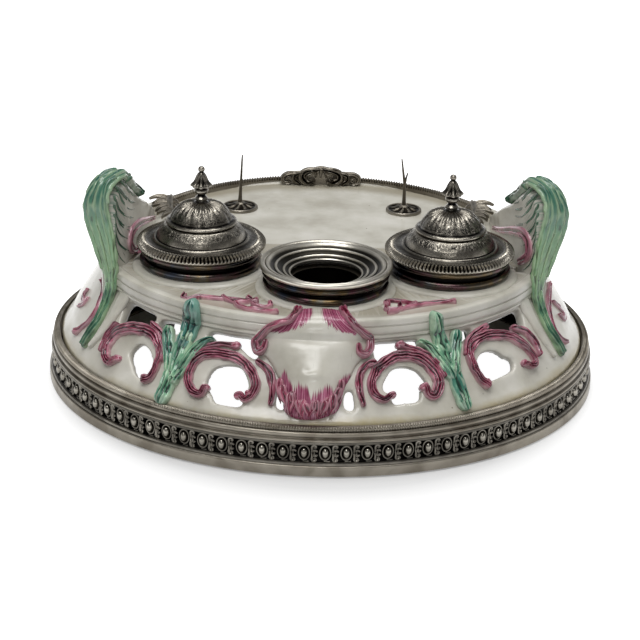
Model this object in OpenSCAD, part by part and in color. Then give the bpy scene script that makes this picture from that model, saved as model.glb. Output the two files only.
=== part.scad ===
// Desk inkstand: a tin-glazed pottery body with a pierced front, held in a plated oval mount.
// +X is the right-hand side, -Y the front and +Z up; the desk is at z = 0, under the oval's centre.

/* [Base mount] */
// Half the oval's width, side to side
base_a = 165; // [150:1:185]
// Half the oval's depth, front to back
base_b = 153; // [140:1:165]
// Height of the plain fascia
fascia_h = 7; // [5:0.5:10]
// Height of the bead band
band_h = 13.5; // [11:0.5:17]
// Depth of the bead band from its lips to the wall behind it
band_d = 5; // [4:0.5:7]
// Height of the plain fillet under the bezel
fillet_h = 3.5; // [2.5:0.5:6]
// Thickness of the rolled bezel
bezel_d = 5; // [4:0.5:7]
// How far the bezel lies inside the foot
mount_taper = 3; // [2:0.5:6]
// Thickness of the plinth's metal
mount_wall = 2; // [1.5:0.25:3]
// Width of the ledge that the pottery's foot stands on
seat_w = 11; // [9:0.5:14]
// Number of oval beads
bead_n = 88; // [60:2:110]
// Depth of the hollow that the beads lie in
hollow_d = 3.8; // [3:0.1:4.5]
// Radius of a bead
bead_r = 1.9; // [1.5:0.1:2.1]
// Length of a bead
bead_l = 7; // [5:0.25:9]

/* [Pottery body] */
// Half the deck's width
deck_a = 133; // [128:1:140]
// How far the deck's centre lies behind the base's centre
deck_back = 9; // [6:1:14]
// Height of the shoulder, from the mount's rim to the ledge
shoulder_h = 36.5; // [32:0.5:42]
// Height of the ledge's face, up to the deck
ledge_h = 10.5; // [9:0.5:14]
// Height of the ledge's lip over the deck
lip_h = 1.2; // [0.8:0.1:3]
// Width of the ledge's lip
lip_w = 6; // [4:0.5:9]
// How far the ledge stands out over the shoulder
ledge_out = 1.5; // [1:0.25:2.5]
// Thickness of the pottery's walls
wall = 7; // [5.5:0.25:8.5]
// Thickness of the deck
deck_t = 6; // [5:0.25:8]
// Turn of the pierced front round the oval, in degrees
front_turn = -2.3; // [-3:0.1:3]
// Turn of the shield round the oval, in degrees
shield_turn = -3.4; // [-4:0.1:4]
// Gap between the pottery and the metal round it
fit_gap = 0.3; // [0.2:0.05:0.5]

/* [Ink wells] */
// Distance of each ink well from the middle
well_x = 72.3; // [70:0.1:75]
// Distance of the ink wells behind the deck's front edge, on average
well_row = 82.33; // [79:0.1:88]
// How far each ink well lies off that place, the left one back and the right one forward
well_skew = 3.3; // [0:0.1:4]
// Inner radius of an ink pot
pot_r = 25; // [20:0.5:26]
// Wall of an ink pot
pot_wall = 2; // [1.5:0.25:3]
// Depth of an ink pot below its flange
pot_h = 40; // [30:1:46]
// Outer radius of a collar
collar_r = 36; // [35:0.5:37]
// Height of a collar over its seat
collar_h = 11; // [8:0.5:14]
// Thickness of a collar's skirt in the deck's hole
skirt_wall = 1.6; // [1.2:0.1:2]
// Radius of the raised seat round each well
seat_r = 40; // [39:0.25:41]
// Height of the raised seat
seat_h = 2; // [1.5:0.25:3]

/* [Lids] */
// Radius of a lid's rim
lid_r = 37.5; // [36.5:0.5:38.5]
// Height of the gadrooned rim
rim_h = 4.2; // [3.5:0.1:5.5]
// Height of the lower dome over the rim
dome_h = 9.5; // [8:0.5:13]
// Radius of the upper dome
cap_r = 20.7; // [18:0.1:23]
// Height of the upper dome
cap_h = 13.5; // [11:0.5:16]
// Thickness of the lids' metal
sheet = 1.2; // [1:0.1:1.6]
// Height of a finial
finial_h = 20; // [16:0.5:24]
// Widest radius of a finial
finial_r = 6.6; // [5:0.1:8]
// Gap between pieces that lift apart
lift_gap = 0.3; // [0.2:0.05:0.5]

/* [Centre well] */
// Distance of the centre well behind the deck's front edge
cup_row = 52.33; // [51:0.1:59]
// Radius of the centre collar's rim
cup_r = 38; // [37:0.25:39]
// Height of the centre collar over its seat
cup_h = 14; // [12:0.5:18]
// Radius of the socket's bore
socket_r = 19.5; // [17:0.25:20]
// Length of the socket's bore
socket_h = 32; // [24:1:40]

/* [Tray fittings] */
// Distance of each pen rest from the middle
rest_x = 52; // [44:0.1:58]
// Place of the pen rests behind the base's centre
rest_y = 75; // [70:1:88]
// Radius of a rosette
rosette_r = 11.3; // [9:0.1:13]
// Height of the pen spikes over the rosettes
spike_h = 31; // [24:0.5:36]
// Radius of a spike at its foot
spike_r = 1.1; // [0.9:0.05:1.4]
// Half the width that the tray's rail would have if it ran on to the sides
rail_a = 118; // [114:1:120]
// Height of the rail's plain strip
rail_h = 2.2; // [2:0.1:4]
// Radius of the rail's rope edge
rope_r = 1.4; // [1.2:0.1:2]
// Angle from the middle to the rail's end, round the oval
rail_turn = 54; // [46:1:56]
// Width of the crest
crest_w = 53; // [44:1:60]
// Height of the crest over the tray
crest_h = 12.5; // [10:0.5:16]

/* [Wings] */
// Height of the wings' tops over the deck
wing_h = 53; // [48:1:58]
// Thickness of a wing at its middle
wing_t = 15; // [12:0.5:18]
// Place of a wing's front end
wing_front = -42; // [-44:0.5:-41]
// Width of a wing's leaf at its widest
leaf_w = 21; // [17:0.5:24]
// Thickness of the leaves
leaf_t = 4; // [3:0.25:5]
// Relief of the scrolls over the glaze
relief = 3.5; // [2.5:0.25:5]

/* [Hidden] */
$fn = 96;

// Heights that follow from the sizes above
oval = base_b / base_a;
band_z = fascia_h + band_h;
rim_z = band_z + fillet_h + bezel_d;
ledge_z = rim_z + shoulder_h;
deck_z = ledge_z + ledge_h;
seat_z = deck_z + seat_h;
band_a = base_a - 1 - band_d;
seat_a = band_a - mount_wall;
foot_a = seat_a - fit_gap;
foot_z = fascia_h + 11;
bead_gap = 0.06;
body_a = base_a - mount_taper - bezel_d;
front_y = deck_back - deck_a * oval;
well_y = front_y + well_row;
cup_y = front_y + cup_row;

silver = "#8b8880";
cream = "#dcd8ce";
puce = "#8e3a5e";
green = "#4f8068";

function mix(a, b, t) = a + (b - a) * t;
function unit(v) = v / norm(v);
function held(s) = min(max(s, 0), 1);

// A smooth curve through hand-placed knots, with some steps between each two
function knot(p, i) = p[min(max(i, 0), len(p) - 1)];
function blend(a, b, c, d, t) =
  0.5 * (2 * b + (c - a) * t + (2 * a - 5 * b + 4 * c - d) * t * t + (3 * b - a - 3 * c + d) * t * t * t);
function curve(p, steps) = concat(
  [for (i = [0:len(p) - 2], j = [0:steps - 1])
    blend(knot(p, i - 1), p[i], p[i + 1], knot(p, i + 2), j / steps)],
  [p[len(p) - 1]]);

// The body's outside: t is the bearing round the oval, s climbs from the mount's rim to the ledge
$turn = 0;
function shell_a(s) = mix(body_a, deck_a, held(s)) + (s > 1 ? ledge_out : 0);
function on_shell(t, s, out = 0) =
  let(a = shell_a(s), q = t + $turn,
    p = [a * cos(q), a * oval * sin(q) + deck_back * held(s), mix(rim_z, ledge_z, s)])
  out == 0 ? p : p + out * shell_normal(t, s);
function shell_normal(t, s) =
  s > 1 ? unit([cos(t + $turn) * oval, sin(t + $turn), 0])
  : let(top = held(s + 0.02))
    unit(cross(on_shell(t + 1, s) - on_shell(t - 1, s), on_shell(t, top) - on_shell(t, top - 0.04)));

// A closed skin over rings that all have the same number of points
module skin(rings) {
  n = len(rings[0]);
  last = len(rings) - 1;
  polyhedron(
    points = [for (ring = rings) for (p = ring) p],
    faces = concat(
      [for (i = [0:last - 1], k = [0:n - 1]) let(a = i * n + k, b = i * n + (k + 1) % n) [a, b, b + n]],
      [for (i = [0:last - 1], k = [0:n - 1]) let(a = i * n + k, b = i * n + (k + 1) % n) [a, b + n, a + n]],
      [for (k = [1:n - 2]) [0, k + 1, k]],
      [for (k = [1:n - 2]) [last * n, last * n + k, last * n + k + 1]]));
}

// A ribbon of oval section along a path: each stop is [point, outward direction, width, thickness]
module ribbon(stops, sides = 8) {
  last = len(stops) - 1;
  skin([for (i = [0:last])
    let(along = unit(stops[min(i + 1, last)][0] - stops[max(i - 1, 0)][0]),
      across = unit(cross(stops[i][1], along)),
      out = cross(along, across))
    [for (k = [0:sides - 1]) let(q = -360 * (k + 0.5) / sides)
      stops[i][0] + across * stops[i][2] / 2 * cos(q) + out * stops[i][3] / 2 * sin(q)]]);
}

// A scroll in relief on the shell, from stops [bearing, climb, width]; its back is sunk in the glaze
module shell_scroll(path, steps = 3, height = relief, sink = 1) {
  ribbon([for (p = curve(path, steps))
    [on_shell(p[0], p[1], (height - sink) / 2), shell_normal(p[0], p[1]), p[2], height + sink]]);
}

// The same shape on the left and, mirrored, on the right; a turn moves both the same way round
module side_of(side) {
  if (side < 0) children();
  else mirror([1, 0, 0]) children();
}
module both_sides(turn = 0) {
  for (side = [-1, 1]) let($turn = -side * turn) side_of(side) children();
}
module at_well(side, z) {
  translate([side * well_x, well_y - side * well_skew, z]) children();
}

// A ring of the oval at a height, and a closed frame of one outline all round the oval
seg = 90;
function oval_ring(a, z, back) =
  [for (k = [0:seg - 1]) let(t = 360 * k / seg) [a * cos(t), a * oval * sin(t) + back, z]];
module oval_frame(outline) {
  n = len(outline);
  polyhedron(
    points = [for (p = outline) each oval_ring(p[0], p[1], 0)],
    faces = [for (i = [0:n - 1], k = [0:seg - 1], half = [0, 1])
      let(a = i * seg, b = (i + 1) % n * seg, m = (k + 1) % seg)
      half == 0 ? [a + k, b + m, a + m] : [a + k, b + k, b + m]]);
}

// Base mount
module base_plinth() {
  color(silver) oval_frame([
    [seat_a - seat_w, 0], [base_a, 0], [base_a, fascia_h - 1], [base_a - 1, fascia_h],
    [band_a, fascia_h], [band_a, band_z], [seat_a, band_z], [seat_a, foot_z],
    [seat_a - seat_w, foot_z], [seat_a - seat_w, foot_z - mount_wall],
    [seat_a - mount_wall, foot_z - mount_wall], [seat_a - mount_wall, mount_wall],
    [seat_a - seat_w, mount_wall]]);
}

// Points along an arc, for the beads and hollows of a turned outline
function arc(x, z, r, from, to, n = 6) =
  [for (i = [0:n]) let(q = mix(from, to, i / n)) [x + r * cos(q), z + r * sin(q)]];

module bead_band() {
  lip = 1.2;
  mid = (fascia_h + band_z) / 2;
  hollow_a = base_a - 1 - hollow_d;
  seat_out = bead_r + bead_gap;
  color(silver) {
    oval_frame([[band_a, fascia_h], [base_a - 1, fascia_h], [base_a - 1, fascia_h + lip],
      [hollow_a, fascia_h + 2 * lip], [hollow_a, band_z - 2 * lip], [base_a - 1, band_z - lip],
      [base_a - 1, band_z], [band_a, band_z]]);
    for (i = [0:bead_n - 1]) let(q = 360 * i / bead_n, out = unit([oval * cos(q), sin(q)]))
      translate([hollow_a * cos(q) + out[0] * seat_out, hollow_a * oval * sin(q) + out[1] * seat_out, mid])
        rotate_extrude() polygon([for (e = [-90:30:90]) [bead_r * cos(e), bead_l / 2 * sin(e)]]);
  }
}

module milled_bezel() {
  roll_r = bezel_d / 2;
  in_a = body_a + fit_gap;
  color(silver) oval_frame(concat(
    [[seat_a, band_z], [base_a - 1.6, band_z], [base_a - 2, band_z + fillet_h]],
    arc(in_a + roll_r, rim_z - roll_r, roll_r, -60, 180, 6),
    [[in_a, band_z + 1.5], [seat_a, band_z + 1.5]]));
}

// Windows of the gallery, left of the middle, as outlines of [bearing, climb]
outer_window = [[-136.5, 0.44], [-134.4, 0.58], [-132.2, 0.61], [-130.1, 0.55], [-129, 0.4],
  [-129.8, 0.22], [-132.4, 0.26], [-134.9, 0.36]];
inner_window = [[-114, 0.34], [-112.3, 0.48], [-109.8, 0.59], [-107.4, 0.6], [-104.9, 0.5],
  [-104.3, 0.3], [-105.4, 0.17], [-108.8, 0.17], [-112, 0.18]];
corner_window = [[-148, 0.78], [-147.5, 0.97], [-131.5, 0.97], [-133.2, 0.88], [-137, 0.82],
  [-143, 0.78]];
leaf_window = [[-130.4, 0.97], [-126, 0.97], [-126.2, 0.82], [-129, 0.84], [-130.2, 0.89]];
top_window = [[-118, 0.97], [-104.5, 0.97], [-102.6, 0.86], [-103.2, 0.72], [-106, 0.76], [-108.2, 0.85],
  [-112, 0.9], [-115.5, 0.86]];
side_window = [[-97.8, 0.44], [-96.6, 0.42], [-96.2, 0.17], [-98, 0.17], [-98.4, 0.28]];

// Cuts a window out through the shell's wall
module pierce(outline) {
  skin([for (out = [-2.2 * wall, 3]) [for (p = outline) on_shell(p[0], p[1], out)]]);
}

hole_r = pot_r + pot_wall + skirt_wall + 2 * fit_gap;
cup_hole_r = socket_r + 2 * skirt_wall + 3 * fit_gap;
stud_r = 1.5;
rail_b = deck_a * oval - 1;
rail_pins = [-44, -22, 0, 22, 44];
pin_r = 1.2;
pin_h = 8;
function on_rail(turn) = [rail_a * sin(turn), rail_b * cos(turn) + deck_back];

// Pottery
// One upright section of the deck's edge at a bearing
function section(t, outline) = [for (p = outline) [p[0] * cos(t), p[0] * oval * sin(t) + deck_back, p[1]]];
face_a = deck_a + ledge_out;
brim_a = face_a - 1;

module faience_body() {
  lip_ends = [-150, -30];
  lip = [[brim_a - lip_w, deck_z - 1], [brim_a, deck_z - 1], [brim_a, deck_z + lip_h - 0.6],
    [brim_a - 0.6, deck_z + lip_h], [brim_a - lip_w + 1.2, deck_z + lip_h], [brim_a - lip_w, deck_z + 0.2]];
  bottom = deck_z - deck_t;
  color(cream) difference() {
    union() {
      skin([oval_ring(brim_a, deck_z, deck_back), oval_ring(brim_a, ledge_z + 4.5, deck_back),
        oval_ring(face_a, ledge_z + 3.5, deck_back), oval_ring(face_a, ledge_z, deck_back),
        oval_ring(deck_a, ledge_z, deck_back), oval_ring(body_a, rim_z, 0), oval_ring(foot_a, foot_z, 0),
        oval_ring(foot_a - wall, foot_z, 0), oval_ring(body_a - wall, rim_z, 0),
        oval_ring(deck_a - wall, ledge_z, deck_back), oval_ring(deck_a - wall, bottom, deck_back)]);
      skin([for (t = [lip_ends[0]:3.75:lip_ends[1]]) section(t, lip)]);
      for (side = [-1, 1]) at_well(side, deck_z - 1) cylinder(r = seat_r, h = seat_h + 1);
      translate([0, cup_y, deck_z - 1]) cylinder(r = seat_r, h = seat_h + 1);
    }
    for (side = [-1, 1]) at_well(side, bottom - 1) cylinder(r = hole_r, h = deck_t + seat_h + 2);
    translate([0, cup_y, bottom - 1]) cylinder(r = cup_hole_r, h = deck_t + seat_h + 2);
    for (x = [-rest_x, rest_x]) translate([x, rest_y, bottom - 1])
      cylinder(r = stud_r + fit_gap, h = deck_t + 2);
    for (turn = rail_pins) translate([on_rail(turn)[0], on_rail(turn)[1], deck_z - pin_h])
      cylinder(r = pin_r + fit_gap, h = pin_h + 1);
    both_sides(front_turn) {
      pierce(outer_window);
      pierce(inner_window);
      pierce(corner_window);
      pierce(leaf_window);
      pierce(top_window);
      pierce(side_window);
    }
  }
}

// The shield over the middle of the front, whose neck lies back over the deck's edge:
// [climb, left edge, right edge, bulge, how far back, share that it faces up]
shield = [[0.045, -5, 2, 1.5, 0, 0], [0.075, -10, 8, 3, 0, 0], [0.14, -13.5, 14.5, 5, 0, 0],
  [0.27, -14.5, 17.5, 6.5, 0, 0], [0.41, -15.5, 18.5, 7.5, 0, 0], [0.55, -18.5, 21.5, 8, 0, 0],
  [0.7, -23, 25, 8, 0, 0], [0.82, -29, 31, 8, 0, 0], [0.95, -31.5, 34, 7.5, 0, 0],
  [1.08, -30.5, 32, 6, 0, 0], [1.2, -26, 28, 5, 0, 0], [1.3, -19, 23, 3.5, 2, 0.5],
  [1.31, -17, 21, 2.5, 7, 1], [1.31, -16, 20, 2, 13.5, 1]];
function bearing(x, s) = -acos(x / shell_a(s));
function shield_point(p, x, out) =
  let(t = bearing(x, p[0]))
  on_shell(t, p[0]) + [0, p[4], 0] + out * unit(mix(shell_normal(t, p[0]), [0, 0, 1], held(p[5])));
module front_cartouche() {
  $turn = shield_turn;
  color(cream) skin([for (p = curve(shield, 2)) concat(
    [for (i = [0:6]) shield_point(p, mix(p[1], p[2], i / 6), -1.5)],
    [for (i = [12:-1:0]) shield_point(p, mix(p[1], p[2], i / 12), 0.6 + p[3] * sin(15 * i))])]);
}

// The scrolls that edge the shield, as [distance to the left of its middle, climb, width]
shoulder_curl = [[16.4, 1.34, 3.5], [21.7, 1.25, 4.5], [27, 1.12, 5], [29.9, 0.97, 5],
  [29.3, 0.86, 4.5], [26.1, 0.84, 4]];
module cartouche_scrolls() {
  color(puce) both_sides(shield_turn)
    shell_scroll([for (p = shoulder_curl) [bearing(-p[0], p[1]), p[1], p[2]]], 3, 2 * relief);
}

outer_curl = [[-139.6, 0.2, 5], [-142.4, 0.22, 7], [-144.9, 0.33, 8], [-145.6, 0.48, 8.5],
  [-143.4, 0.64, 8.5], [-138.9, 0.74, 8.5], [-134.4, 0.77, 8], [-130.5, 0.71, 7.5], [-128.4, 0.58, 7],
  [-127.8, 0.42, 6.5], [-128.4, 0.27, 6], [-129.8, 0.16, 6.5]];
inner_curl = [[-113.5, 0.26, 5], [-115.1, 0.21, 6], [-116.8, 0.28, 6.5], [-117.6, 0.43, 7], [-117, 0.59, 7],
  [-114.7, 0.7, 7], [-111.2, 0.75, 7], [-107.5, 0.7, 7], [-104.7, 0.61, 6.5], [-103.3, 0.46, 6.5],
  [-103.3, 0.31, 6], [-104.5, 0.22, 5.5], [-106, 0.2, 5]];
brow_curl = [[-112.5, 0.84, 3.5], [-110, 0.87, 4], [-108, 0.85, 4]];
small_curl = [[-102.6, 0.67, 4], [-100.9, 0.63, 5], [-99.6, 0.5, 5.5], [-99.1, 0.35, 5], [-99.4, 0.2, 4]];
module gallery_scrolls() {
  color(puce) both_sides(front_turn) {
    shell_scroll(outer_curl);
    shell_scroll(inner_curl);
    shell_scroll(brow_curl, 2);
    shell_scroll(small_curl);
  }
}

sprig_stem = [[-121.2, 0.03, 8], [-121.3, 0.2, 9], [-121.5, 0.45, 9.5], [-121.4, 0.65, 11],
  [-121.2, 0.82, 11], [-121, 0.97, 9.5], [-120.7, 1.12, 8.5], [-120.6, 1.22, 6]];
sprig_left = [[-122, 0.5, 5], [-124.2, 0.68, 5.5], [-126, 0.82, 5]];
sprig_right = [[-120.8, 0.54, 5], [-118.3, 0.74, 5.5], [-116, 0.86, 5]];
module leaf_sprigs() {
  color(green) both_sides(front_turn) {
    ribbon([for (p = curve(sprig_stem, 3)) let(up = held((p[1] - 0.7) / 0.4))
      [on_shell(p[0], min(p[1], 1)) + (p[1] > 1 ? [0, 0, (p[1] - 1) * shoulder_h] : [0, 0, 0])
        + (0.6 + 0.6 * up) * relief * shell_normal(p[0], 0.5),
        unit(mix(shell_normal(p[0], 0.5), shell_normal(p[0], 1.1), up)), p[2], 1.6 * relief + 1]]);
    shell_scroll(sprig_left, 3, 1.3 * relief);
    shell_scroll(sprig_right, 3, 1.3 * relief);
  }
}

// Scrolls lying on the deck in front of each well, as [x, y, width] from the well's middle
deck_curl = [[-6, -49, 2], [3, -51, 3], [12, -52.5, 3.5], [22, -53.5, 3.5], [31, -53, 2.5]];
deck_twig = [[22, -58, 2], [30, -60.5, 3.5], [38, -63.5, 3.5], [46, -66.5, 2]];
module flat_scroll(path) {
  ribbon([for (p = curve(path, 3)) [[p[0], p[1], 0.2 * relief], [0, 0, 1], p[2], relief]]);
}
module deck_scrolls() {
  color(puce) for (side = [-1, 1]) at_well(side, deck_z) side_of(side) {
    flat_scroll(deck_curl);
    flat_scroll(deck_twig);
  }
}

panel_curl = [[-163, 0.75, 3], [-160, 0.8, 4], [-157.5, 0.7, 5], [-156, 0.5, 5.5], [-156.5, 0.3, 5],
  [-159, 0.16, 4.5], [-161.5, 0.14, 4]];
wing_curl = [[25, 0, 4], [5, 7, 5], [-15, 14, 6], [-29, 18, 6], [-36, 15, 6], [-37, 10, 6], [-34, 4, 5]];
module side_scrolls() {
  curl_foot = 5;
  color(puce) both_sides() {
    shell_scroll(panel_curl);
    ribbon([for (p = curve(wing_curl, 3)) [
      [-wing_inside(p[0]) + 0.3 * relief, p[0], deck_z + curl_foot + p[1]], [1, 0, 0], p[2], 1.4 * relief]]);
  }
}

// The wings' stops, front to back:
// [y, distance outside the well's seat, share of the wing's height, foot, share of its thickness]
wing_line = [[wing_front, 9, 0.55, -28, 0.5], [-40, 8.5, 0.8, -28, 0.55], [-36, 7, 0.93, -24, 0.7],
  [-31, 4.5, 0.97, -18, 0.85], [-25, 2.5, 0.93, -13.5, 1], [-16, 0.5, 0.82, -13.5, 1],
  [-4, -2.5, 0.66, -13.5, 1], [12, -6, 0.5, -13.5, 1], [30, -8, 0.33, -13.5, 1], [48, -8, 0.17, -13.5, 0.9],
  [62, -6, 0.08, -13.5, 0.75]];
function wing_inside(y) = well_x + seat_r + lookup(y, [for (p = wing_line) [p[0], p[1]]]);
module wing(side) {
  corner = 3;
  color(cream) side_of(side) skin([for (p = curve(wing_line, 2))
    let(x0 = -well_x - seat_r - p[1], x1 = x0 - wing_t * p[4],
      z0 = deck_z + p[3], z1 = deck_z + wing_h * p[2])
    [[x0, p[0], z0], [x0, p[0], mix(z0, z1, 0.5)], [x0 - 0.5, p[0], z1 - 1.5 * corner],
      [x0 - corner, p[0], z1 - 0.4], [mix(x0, x1, 0.5), p[0], z1], [x1 + corner, p[0], z1 - 0.6],
      [x1, p[0], z1 - 1.5 * corner], [x1 - 1, p[0], mix(z0, z1, 0.5)], [x1, p[0], z0]]]);
}

// The long leaf up a wing's front, from its foot to the curl at the top: [point, outward, width]
leaf_path = [[-138, -58, 36.5], [-134.5, -55.5, 42], [-129.5, -52, 50], [-125, -46.5, 60], [-123.8, -44, 70],
  [-124.5, -44, 80], [-128, -44, 95], [-131, -43.5, 108], [-131.5, -42.5, 119], [-128.5, -39, 127],
  [-122.5, -33, 131], [-117, -24, 130.5], [-113, -10, 123]];
leaf_out = [[-0.7, -0.5, 0.5], [-0.7, -0.5, 0.5], [-0.6, -0.7, 0.3], [-0.5, -0.8, 0.2], [-0.4, -0.9, 0],
  [-0.4, -0.9, 0], [-0.4, -0.9, 0.1], [-0.4, -0.85, 0.3], [-0.4, -0.8, 0.5], [-0.3, -0.6, 0.8],
  [-0.1, -0.3, 0.95], [0.2, 0.1, 0.95], [0.6, 0.5, 0.6]];
leaf_share = [0.25, 0.28, 0.3, 0.33, 0.4, 0.6, 0.85, 1, 1, 0.9, 0.75, 0.5, 0.25];
module wing_leaf(side) {
  path = curve(leaf_path, 3);
  out = curve(leaf_out, 3);
  share = curve(leaf_share, 3);
  color(green) side_of(side) ribbon([for (i = [0:len(path) - 1])
    [path[i], unit(out[i]), leaf_w * share[i], leaf_t]], 10);
}

module left_wing() { wing(-1); }
module right_wing() { wing(1); }
module left_wing_leaf() { wing_leaf(-1); }
module right_wing_leaf() { wing_leaf(1); }

// Tray fittings
module tray_rail() {
  color(silver) translate([0, deck_back, 0]) scale([1, rail_b / rail_a, 1]) rotate([0, 0, 90 - rail_turn])
    rotate_extrude(angle = 2 * rail_turn) {
      translate([rail_a - 1.2, deck_z]) square([2.4, rail_h]);
      translate([rail_a, deck_z + rail_h + 0.6 * rope_r]) circle(r = rope_r);
    }
}

// Half of the crest's upper outline, from the middle to its scrolled end:
// shares of half its width and of its height
crest_line = [[0, 0.98], [0.12, 1], [0.3, 0.93], [0.42, 0.78], [0.5, 0.66], [0.62, 0.7], [0.78, 0.68],
  [0.92, 0.56], [1, 0.34], [0.97, 0.12], [0.88, 0]];
module rail_crest() {
  half = crest_w / 2;
  line = [for (p = crest_line) [p[0] * half, p[1] * crest_h]];
  color(silver) translate([0, on_rail(0)[1] - 4.5, deck_z]) rotate([90, 0, 0]) linear_extrude(4)
    polygon(concat(line, [for (i = [len(line) - 1:-1:1]) [-line[i][0], line[i][1]]]));
}

module rail_leaf(side) {
  near = on_rail(rail_turn - 3);
  far = [-on_rail(rail_turn + 12)[0], on_rail(rail_turn + 12)[1]];
  line = [[0, 3, 3], [0.3, 7, 4], [0.6, 9, 4.5], [0.85, 6, 4], [1, 2, 3]];
  color(silver) side_of(side) ribbon([for (p = curve(line, 3))
    [[mix(-near[0], far[0] + 5, p[0]), mix(near[1], far[1], p[0]), deck_z + rail_h + 3 * sin(180 * p[0])],
      unit([0.6, -0.5, 0.6]), p[1], p[2]]]);
}
module left_rail_leaf() { rail_leaf(-1); }
module right_rail_leaf() { rail_leaf(1); }

module rail_studs() {
  color(silver) for (turn = rail_pins)
    translate([on_rail(turn)[0], on_rail(turn)[1], deck_z - pin_h + fit_gap])
      cylinder(r = pin_r, h = pin_h - fit_gap);
}

rosette_h = 4.5;
socket_d = 3.5;
module rosette(side) {
  color(silver) translate([side * rest_x, rest_y, deck_z]) {
    difference() {
      rotate_extrude() polygon([[0, 0], [rosette_r, 0], [rosette_r, 0.8], [rosette_r - 2, 1.6],
        [rosette_r - 5, 1.9], [rosette_r - 7.5, 2.8], [spike_r + 1.2, rosette_h], [0, rosette_h]]);
      translate([0, 0, rosette_h - socket_d]) cylinder(r = spike_r + 0.05, h = socket_d + 1);
    }
    translate([0, 0, -deck_t - 4]) cylinder(r = stud_r, h = deck_t + 4.5);
  }
}
module left_rosette() { rosette(-1); }
module right_rosette() { rosette(1); }
module rosette_nuts() {
  color(silver) for (x = [-rest_x, rest_x]) translate([x, rest_y, deck_z - deck_t - 3]) difference() {
    cylinder(r = 4.2, h = 3, $fn = 6);
    translate([0, 0, -1]) cylinder(r = stud_r + 0.05, h = 5);
  }
}

module left_pen_spike() {
  color(silver) translate([-rest_x, rest_y, deck_z + rosette_h - socket_d]) {
    cylinder(r = spike_r, h = socket_d);
    translate([0, 0, socket_d + 0.6]) {
      sphere(r = 1.3 * spike_r);
      rotate([0, 2.5, 0]) cylinder(r1 = spike_r, r2 = 0.4, h = spike_h);
    }
  }
}
module right_pen_fork() {
  fork_h = spike_h / 2;
  fork_r = 0.85;
  lean = 9;
  color(silver) translate([rest_x, rest_y, deck_z + rosette_h - socket_d]) {
    cylinder(r = spike_r, h = socket_d);
    translate([0, 0, socket_d]) cylinder(r1 = spike_r, r2 = fork_r, h = fork_h);
    translate([0, 0, socket_d + fork_h]) {
      sphere(r = 1.2 * fork_r);
      rotate([0, -lean, 0]) cylinder(r1 = fork_r, r2 = 0.4, h = spike_h - fork_h);
      rotate([0, 2 * lean, 0]) cylinder(r1 = 0.8 * fork_r, r2 = 0.4, h = spike_h / 4);
    }
  }
}

// Ink wells
skirt_r = hole_r - fit_gap;
pot_flange = 2;
thread = 0.05;
nut_h = 4;
module collar(side) {
  in_r = skirt_r - skirt_wall;
  recess_r = skirt_r + 2;
  color(silver) at_well(side, seat_z) rotate_extrude() polygon(concat(
    [[in_r, -seat_h - deck_t - nut_h], [skirt_r, -seat_h - deck_t - nut_h], [skirt_r, 0]],
    arc(collar_r - 2.3, 2.3, 2.3, -90, 75),
    arc(collar_r - 2.6, collar_h - 1.8, 1.7, -75, 90),
    [[recess_r, collar_h], [recess_r, collar_h - pot_flange], [in_r, collar_h - pot_flange]]));
}
module left_collar() { collar(-1); }
module right_collar() { collar(1); }
module ring_nut(r) {
  rotate_extrude() translate([r + thread, 0]) square([5, nut_h - 0.5]);
}
module collar_nuts() {
  z = deck_z - deck_t - nut_h + 0.5;
  color(silver) {
    for (side = [-1, 1]) at_well(side, z) ring_nut(skirt_r);
    translate([0, cup_y, z]) ring_nut(cup_hole_r - fit_gap);
  }
}

module ink_pot(side) {
  r = pot_r + pot_wall;
  color("#31424a") at_well(side, seat_z + collar_h) rotate_extrude()
    polygon([[0, -pot_h], [r - 2, -pot_h], [r, -pot_h + 2], [r, -pot_flange], [skirt_r + 1.7, -pot_flange],
      [skirt_r + 1.7, 0], [pot_r, 0], [pot_r, -pot_h + pot_wall + 2], [pot_r - 2, -pot_h + pot_wall],
      [0, -pot_h + pot_wall]]);
}
module left_ink_pot() { ink_pot(-1); }
module right_ink_pot() { ink_pot(1); }

// Lids
lid_z = seat_z + collar_h + lift_gap;
spigot_r = pot_r - 0.5;
cap_z = lid_z + rim_h + dome_h;
finial_z = cap_z + cap_h;
module lid(side) {
  top = rim_h + dome_h;
  ring_r = lid_r - 9.6;
  shade_r = ring_r - 1.8;
  color(silver) at_well(side, lid_z) rotate_extrude() polygon([
    [spigot_r - sheet, -4], [spigot_r, -4], [spigot_r, 0], [lid_r, 0], [lid_r, 1], [lid_r - 0.8, 2.4],
    [lid_r - 2.8, rim_h - 0.5], [lid_r - 4.9, rim_h], [lid_r - 5.6, rim_h - 0.7], [ring_r, rim_h - 0.4],
    [ring_r, rim_h + 0.8], [ring_r - 1.4, rim_h + 1], [shade_r, rim_h + 0.6], [shade_r - 0.4, rim_h + 2.2],
    [mix(shade_r, cap_r, 0.35), rim_h + 0.5 * dome_h], [mix(shade_r, cap_r, 0.75), rim_h + 0.78 * dome_h],
    [cap_r - 0.6, top - 0.8], [cap_r - 1.8, top], [stud_r + 0.1, top], [stud_r + 0.1, top - sheet],
    [cap_r - 2.6, top - sheet], [mix(shade_r, cap_r, 0.75) - sheet, rim_h + 0.7 * dome_h],
    [spigot_r - sheet, rim_h + 0.3 * dome_h]]);
}
module left_lid() { lid(-1); }
module right_lid() { lid(1); }

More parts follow.
